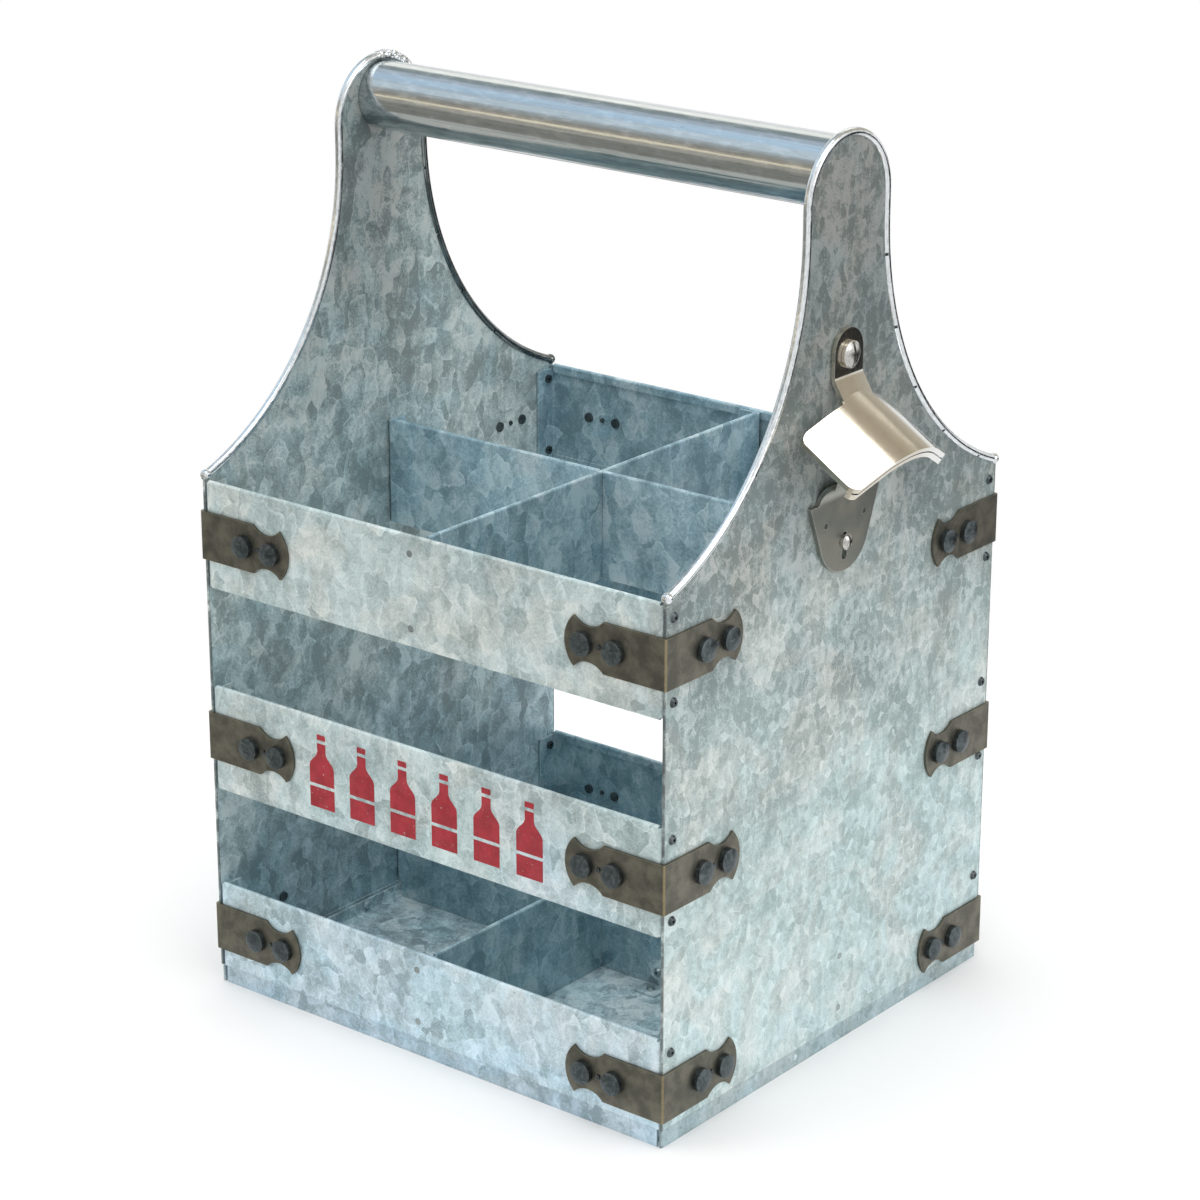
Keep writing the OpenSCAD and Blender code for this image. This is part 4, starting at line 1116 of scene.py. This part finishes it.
def nodes_named(*words: str) -> List[str]:
    """Lists the CAD nodes whose name starts with one of the words."""
    return sorted(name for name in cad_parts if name.startswith(words))


@dataclass
class SheetBody:
    """End panels, slats, floor pan and dividers."""

    outer: List[str] = field(default_factory=lambda: nodes_named("front_"))
    left: str = "left_end_panel"
    right: str = "right_end_panel"
    floor: List[str] = field(default_factory=lambda: ["floor_pan", "divider_foot_clip"])
    inner: List[str] = field(default_factory=lambda: nodes_named("back_", "upper_", "lower_"))

    def dress(self) -> None:
        """Gives each sheet piece its zinc."""
        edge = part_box(self.right)[1]
        coat(self.outer, replace(OUTER_ZINC, seam_axis=0, seam_at=edge.x))
        coat([self.left], replace(SHADED_LEFT_ZINC, seam_axis=1, seam_at=edge.y, face_axis=0, face_at=edge.x))
        coat([self.right], replace(PANEL_ZINC, seam_axis=1, seam_at=edge.y))
        coat(self.inner, replace(SHADED_INNER_ZINC, face_axis=1, face_at=edge.y))
        coat(self.floor, FLOOR_ZINC)


@dataclass
class Handle:
    """The tube between the end panels."""

    tube: str = "handle_tube"

    def dress(self) -> None:
        """Gives the tube its drawn steel."""
        coat([self.tube], TUBE_STEEL)


@dataclass
class RimTrim:
    """The bright split tube round each end panel's rim, crumpled at the left one's top."""

    left: str = "left_edge_trim"
    right: str = "right_edge_trim"
    neck_half: float = 20 * MM
    bead_r: float = 1.3 * MM
    turns: Range = (42.0, 97.0)
    leans: Range = (-125.0, 125.0)
    crimp_r: float = 1.55 * MM
    end_drop: float = 0.3 * MM
    crumple: float = 0.6 * MM
    crumple_in: float = 0.62
    along: int = 44
    round: int = 14
    seed: int = 7

    def dress(self) -> None:
        """Gives the trim its polish, and the left one's back run its painted shade."""
        coat([self.right], TRIM_METAL)
        coat([self.left], SHADED_BACK_TRIM)

    @staticmethod
    def angle(ends: Range, share: float) -> float:
        """Gives the angle in radians at a share of the way between two in degrees."""
        return math.radians(ends[0] + (ends[1] - ends[0]) * share)

    def build(self) -> None:
        """Builds the crumpled skin on the left trim's top."""
        low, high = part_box(self.left)
        centre_x = (low.x + high.x) / 2
        centre_z = high.z - self.bead_r - self.neck_half
        dice = random.Random(self.seed)
        form = bmesh.new()
        rows = []
        for i in range(self.along + 1):
            turn = self.angle(self.turns, i / self.along)
            fade = math.sin(math.pi * i / self.along) ** 0.5
            base = self.crimp_r - self.end_drop * (1 - fade)
            row = []
            for j in range(self.round + 1):
                lean = self.angle(self.leans, j / self.round)
                reach = base + self.crumple * fade * (dice.random() - self.crumple_in)
                out = self.neck_half + reach * math.cos(lean)
                x = centre_x + reach * math.sin(lean)
                row.append(form.verts.new((x, out * math.cos(turn), centre_z + out * math.sin(turn))))
            rows.append(row)
        for first, second in zip(rows, rows[1:]):
            for j in range(self.round):
                form.faces.new((first[j], first[j + 1], second[j + 1], second[j]))
        mesh = bpy.data.meshes.new("left_trim_crimp")
        form.to_mesh(mesh)
        form.free()
        piece("left_trim_crimp", mesh, TRIM_METAL)


@dataclass
class FloorRivets:
    """The flush rivets through the foot bands, their caps a hair proud of the sheet."""

    node: str = "floor_rivets"
    proud: float = 0.04 * MM
    near: float = 0.01 * MM

    def build(self) -> None:
        """Builds the rivets on the CAD node's form and puts them in its place."""
        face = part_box(self.node)[1].x
        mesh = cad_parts[self.node].data.copy()
        mesh.materials.clear()
        for vertex in mesh.vertices:
            if abs(abs(vertex.co.x) - face) < self.near:
                vertex.co.x += math.copysign(self.proud, vertex.co.x)
        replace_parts(piece("floor_rivet_caps", mesh, FLOOR_ZINC), self.node)


@dataclass
class CornerStraps:
    """Straps round the corners, and every dark rivet of the caddy."""

    flush: List[str] = field(default_factory=lambda: ["divider_rivets"])
    corner: str = "strap_back_right_top"

    def dress(self) -> None:
        """Gives straps and rivets their dark finishes."""
        others = (*self.flush, FloorRivets.node)
        rivets = [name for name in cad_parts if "rivets" in name and name not in others]
        straps = [name for name in nodes_named("strap_") if "rivets" not in name]
        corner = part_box(self.corner)[1]
        coat(straps, replace(STRAP_METAL, fold=(corner.x, corner.y)))
        coat(rivets, RIVET_STEEL)
        coat(self.flush, DULL_RIVET)


@dataclass
class Opener:
    """The bottle opener on the right end panel."""

    hood: str = "opener_hood"
    catch: str = "opener_catch_plate"
    fasteners: List[str] = field(
        default_factory=lambda: ["opener_top_screw", "opener_low_screw", "opener_nut"]
    )

    def dress(self) -> None:
        """Gives the opener its plating."""
        coat([self.hood], HOOD_NICKEL)
        coat([self.catch], CATCH_NICKEL)
        coat(self.fasteners, SCREW_METAL)


@dataclass
class BottleStencil:
    """A row of plain stencilled bottles on the front middle slat."""

    slat: str = "front_middle_slat"
    count: int = 6
    first_x: float = -44 * MM
    pitch: float = 17.0 * MM
    height: float = 25 * MM
    half_body: float = 5.2 * MM
    half_neck: float = 1.8 * MM
    shoulder_share: float = 0.56
    neck_share: float = 0.76
    bridge: float = 1.1 * MM
    bridge_shares: Range = (0.3, 0.88)
    thickness: float = 0.04 * MM
    steps: int = 14

    def half_width(self, share: float) -> float:
        """Gives a bottle's half width.

        Args:
            share: height on the bottle, as a share of its height.

        Returns:
            The half width in metres.
        """
        if share <= self.shoulder_share:
            return self.half_body
        if share >= self.neck_share:
            return self.half_neck
        turn = (share - self.shoulder_share) / (self.neck_share - self.shoulder_share)
        return self.half_neck + (self.half_body - self.half_neck) * 0.5 * (1 + math.cos(math.pi * turn))

    def band(self, form: bmesh.types.BMesh, x: float, y: float, z: float, low: float, high: float) -> None:
        """Adds one band of a bottle between two heights.

        Args:
            form: the mesh being built.
            x, y, z: the foot of the bottle.
            low, high: shares of the height between which it runs.
        """
        pairs = []
        for k in range(self.steps + 1):
            share = low + (high - low) * k / self.steps
            half = self.half_width(share)
            up = z + share * self.height
            pairs.append([form.verts.new((x + side * half, y, up)) for side in (-1, 1)])
        for lower, upper in zip(pairs, pairs[1:]):
            form.faces.new((lower[0], lower[1], upper[1], upper[0]))

    def build(self) -> None:
        """Builds the row of bottles."""
        low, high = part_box(self.slat)
        form = bmesh.new()
        foot = (low.z + high.z - self.height) / 2
        y = low.y - self.thickness
        gap = self.bridge / self.height
        label, collar = self.bridge_shares
        for k in range(self.count):
            x = self.first_x + k * self.pitch
            self.band(form, x, y, foot, 0.0, label - gap / 2)
            self.band(form, x, y, foot, label + gap / 2, collar)
            self.band(form, x, y, foot, collar + gap, 1.0)
        mesh = bpy.data.meshes.new("stencil_bottles")
        form.to_mesh(mesh)
        form.free()
        piece("stencil_bottles", mesh, RED_PAINT)


# Height of the handle tube, how far the cards stand from it, and where they end along X
TUBE_Z = 0.283
TUBE_CARD_REACH = 1.0
TUBE_SIDE = (-2.4, 0.16)
# Height of the cards that lie on the floor
CARD_Z = 0.004


@dataclass(frozen=True)
class Card:
    """A card that only polished metal sees: four corners and the light that it sends back."""

    name: str
    corners: Tuple[Point, Point, Point, Point]
    shine: Tuple[float, float, float]
    cloud_per_mm: float = 0.003
    clouds: Mask = Mask(*MOST, 0.9, 1.1)

    @classmethod
    def round_tube(cls, name: str, low: float, high: float, shine: Tuple[float, float, float]) -> "Card":
        """Makes a long card that shows as one band along the handle tube.

        Args:
            name: the card's name.
            low, high: the angles above the front horizon, in degrees, between which it stands.
            shine: the light it sends back.

        Returns:
            The card.
        """
        rows = []
        for turn in (math.radians(low), math.radians(high)):
            rows.append((-TUBE_CARD_REACH * math.cos(turn), TUBE_Z + TUBE_CARD_REACH * math.sin(turn)))
        first, last = TUBE_SIDE
        corners = ((first, *rows[0]), (last, *rows[0]), (last, *rows[1]), (first, *rows[1]))
        return cls(name, corners, shine)

    @classmethod
    def on_floor(cls, name: str, across: Range, along: Range, shine: Tuple[float, float, float]) -> "Card":
        """Makes a card that lies just above the floor.

        Args:
            name: the card's name.
            across: its first and last X.
            along: its first and last Y.
            shine: the light it sends back.

        Returns:
            The card.
        """
        low, high = across
        near, far = along
        corners = ((low, near, CARD_Z), (high, near, CARD_Z), (high, far, CARD_Z), (low, far, CARD_Z))
        return cls(name, corners, shine)

    def build(self) -> None:
        """Builds the card and hides it from all but polished metal."""
        mesh = bpy.data.meshes.new(self.name)
        mesh.from_pydata(self.corners, [], [(0, 1, 2, 3)])
        graph = Graph(self.name)
        glow = graph.add("ShaderNodeEmission")
        uneven = graph.masked(graph.noise(self.cloud_per_mm), self.clouds)
        graph.feed(glow.inputs["Color"], graph.scaled_colour((*self.shine, 1.0), uneven))
        output = next(node for node in graph.tree.nodes if node.type == "OUTPUT_MATERIAL")
        graph.tree.links.new(glow.outputs[0], output.inputs["Surface"])
        mesh.materials.append(graph.material)
        made = bpy.data.objects.new(self.name, mesh)
        bpy.context.scene.collection.objects.link(made)
        made.visible_camera = False
        made.visible_diffuse = False
        made.visible_transmission = False
        made.visible_shadow = False
        log.info("card %s", self.name)


CARDS = (
    Card.round_tube("card_low", -7, 6, (0.5, 0.47, 0.41)),
    Card.round_tube("card_warm_strip", 6, 12, (1.15, 1.0, 0.74)),
    Card.round_tube("card_front", 12, 26, (0.42, 0.38, 0.32)),
    Card.round_tube("card_upper", 26, 38, (0.5, 0.53, 0.53)),
    Card.round_tube("card_sky_low", 38, 62, (0.74, 0.84, 0.92)),
    Card.round_tube("card_sky", 62, 88, (0.68, 0.86, 1.04)),
    Card.round_tube("card_sky_high", 88, 106, (0.6, 0.68, 0.78)),
    Card.round_tube("card_above", 106, 128, (0.36, 0.42, 0.43)),
    Card.round_tube("card_back_strip", 128, 150, (1.3, 1.28, 1.2)),
    Card.on_floor("card_floor_near", TUBE_SIDE, (-0.1, -0.34), (0.62, 0.62, 0.58)),
    Card.on_floor("card_floor", TUBE_SIDE, (-0.34, -2.6), (0.31, 0.3, 0.27)),
    Card(
        "card_behind",
        ((-0.2, 0.3, 1.45), (0.9, 0.3, 1.45), (0.9, 1.3, 0.4), (-0.2, 1.3, 0.4)),
        (0.56, 0.51, 0.43),
    ),
    Card.on_floor("card_right", (0.43, 1.4), (0.42, 1.5), (0.02, 0.02, 0.02)),
    Card.on_floor("card_back_floor", (-1.4, 0.43), (0.36, 2.9), (0.05, 0.05, 0.05)),
)


@dataclass(frozen=True)
class Lamp:
    """A soft square lamp: where it hangs, its side in metres and its power in watts."""

    name: str
    place: Point
    side: float
    power: float


@dataclass
class Studio:
    """Pale floor, soft lights, reflecting cards and the camera."""

    eye: Point = (0.66426, -0.82918, 0.51392)
    azimuth: float = 38.755
    elevation: float = 19.85
    roll: float = -0.05
    lens_mm: float = 105.6
    sensor_mm: float = 36.0
    floor_reach: float = 3.0
    floor_colour: Colour = paint(244, 244, 244)
    floor_stain: Colour = paint(226, 228, 230)
    floor_stains: Mask = Mask(*MOST, strong=0.06)
    stain_per_mm: float = 0.004
    floor_roughness: float = 0.8
    fade: Range = (0.17, 0.4)
    world_light: float = 0.66
    lamps: Tuple[Lamp, ...] = (
        Lamp("overhead", (0.1, -0.1, 1.6), side=1.4, power=17.0),
        Lamp("front_left", (-1.1, -1.3, 0.9), side=1.0, power=6.0),
        Lamp("right", (1.5, 0.5, 0.8), side=0.9, power=5.0),
    )
    aim: Point = (0.0, 0.0, 0.14)
    cards: Tuple[Card, ...] = CARDS

    def build(self) -> None:
        """Builds the whole studio."""
        self.sky()
        self.floor()
        for card in self.cards:
            card.build()
        for lamp in self.lamps:
            self.hang(lamp)
        self.camera()

    def sky(self) -> None:
        """Lights the world evenly, and shows it white to the camera and in metal."""
        world = bpy.data.worlds.new("studio")
        bpy.context.scene.world = world
        world.use_nodes = True
        tree = world.node_tree
        tree.nodes.clear()
        path = tree.nodes.new("ShaderNodeLightPath")
        light = tree.nodes.new("ShaderNodeBackground")
        light.inputs["Strength"].default_value = self.world_light
        shown = tree.nodes.new("ShaderNodeBackground")
        for node in (light, shown):
            node.inputs["Color"].default_value = (1.0, 1.0, 1.0, 1.0)
        seen = self.seen(tree, path)
        mix = tree.nodes.new("ShaderNodeMixShader")
        output = tree.nodes.new("ShaderNodeOutputWorld")
        tree.links.new(seen, mix.inputs[0])
        tree.links.new(light.outputs[0], mix.inputs[1])
        tree.links.new(shown.outputs[0], mix.inputs[2])
        tree.links.new(mix.outputs[0], output.inputs["Surface"])

    @staticmethod
    def seen(tree: bpy.types.NodeTree, path: bpy.types.Node) -> bpy.types.NodeSocket:
        """Tells rays of the camera, of metal and of glass from the rest.

        Args:
            tree: the node tree.
            path: its light path node.

        Returns:
            A socket that is 1 for those rays.
        """
        total = path.outputs["Is Camera Ray"]
        for other in ("Is Glossy Ray", "Is Transmission Ray"):
            node = tree.nodes.new("ShaderNodeMath")
            node.operation = "MAXIMUM"
            tree.links.new(total, node.inputs[0])
            tree.links.new(path.outputs[other], node.inputs[1])
            total = node.outputs[0]
        return total

    def floor(self) -> None:
        """Lays the pale floor, which fades to white away from the caddy."""
        form = bmesh.new()
        reach = self.floor_reach
        corners = ((-reach, -reach), (reach, -reach), (reach, reach), (-reach, reach))
        form.faces.new([form.verts.new((x, y, 0.0)) for x, y in corners])
        mesh = bpy.data.meshes.new("floor")
        form.to_mesh(mesh)
        form.free()
        graph = Graph("floor_pale")
        stains = graph.masked(graph.noise(self.stain_per_mm), self.floor_stains)
        pale = graph.mix(stains, self.floor_colour, self.floor_stain)
        graph.surface(pale, self.floor_roughness, NO_METAL)
        tree = graph.tree
        white = graph.add("ShaderNodeEmission")
        away = graph.vector("MULTIPLY", graph.place, (1.0, 1.0, 0.0))
        length = graph.add("ShaderNodeVectorMath", operation="LENGTH")
        graph.feed(length.inputs[0], away)
        far = graph.span(length.outputs["Value"], *self.fade)
        seen = self.seen(tree, graph.add("ShaderNodeLightPath"))
        share = graph.maths("MULTIPLY", far, seen)
        mix = graph.add("ShaderNodeMixShader")
        graph.feed(mix.inputs[0], share)
        tree.links.new(graph.shader.outputs[0], mix.inputs[1])
        tree.links.new(white.outputs[0], mix.inputs[2])
        output = next(node for node in tree.nodes if node.type == "OUTPUT_MATERIAL")
        tree.links.new(mix.outputs[0], output.inputs["Surface"])
        mesh.materials.append(graph.material)
        made = bpy.data.objects.new("floor", mesh)
        bpy.context.scene.collection.objects.link(made)

    def hang(self, lamp: Lamp) -> None:
        """Hangs a lamp that points at the caddy.

        Args:
            lamp: the lamp.
        """
        data = bpy.data.lights.new(lamp.name, "AREA")
        data.size = lamp.side
        data.energy = lamp.power
        made = bpy.data.objects.new(lamp.name, data)
        made.location = lamp.place
        ray = Vector(self.aim) - Vector(lamp.place)
        made.rotation_euler = ray.to_track_quat("-Z", "Y").to_euler()
        bpy.context.scene.collection.objects.link(made)
        log.info("lamp %s: %.1f W", lamp.name, lamp.power)

    def camera(self) -> None:
        """Sets up the camera."""
        data = bpy.data.cameras.new("camera")
        data.sensor_width = self.sensor_mm
        data.lens = self.lens_mm
        made = bpy.data.objects.new("camera", data)
        made.location = self.eye
        angles = (90 - self.elevation, self.roll, self.azimuth)
        made.rotation_euler = Euler([math.radians(angle) for angle in angles], "XYZ")
        bpy.context.scene.collection.objects.link(made)
        bpy.context.scene.camera = made


def main() -> None:
    """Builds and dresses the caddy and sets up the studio."""
    logging.basicConfig(level=logging.INFO, format="%(name)s: %(message)s")
    SheetBody().dress()
    Handle().dress()
    trim = RimTrim()
    trim.dress()
    trim.build()
    FloorRivets().build()
    CornerStraps().dress()
    Opener().dress()
    BottleStencil().build()
    Studio().build()
    bpy.context.scene.view_settings.view_transform = "Standard"
    bpy.context.view_layer.update()


if __name__ == "__main__":
    main()
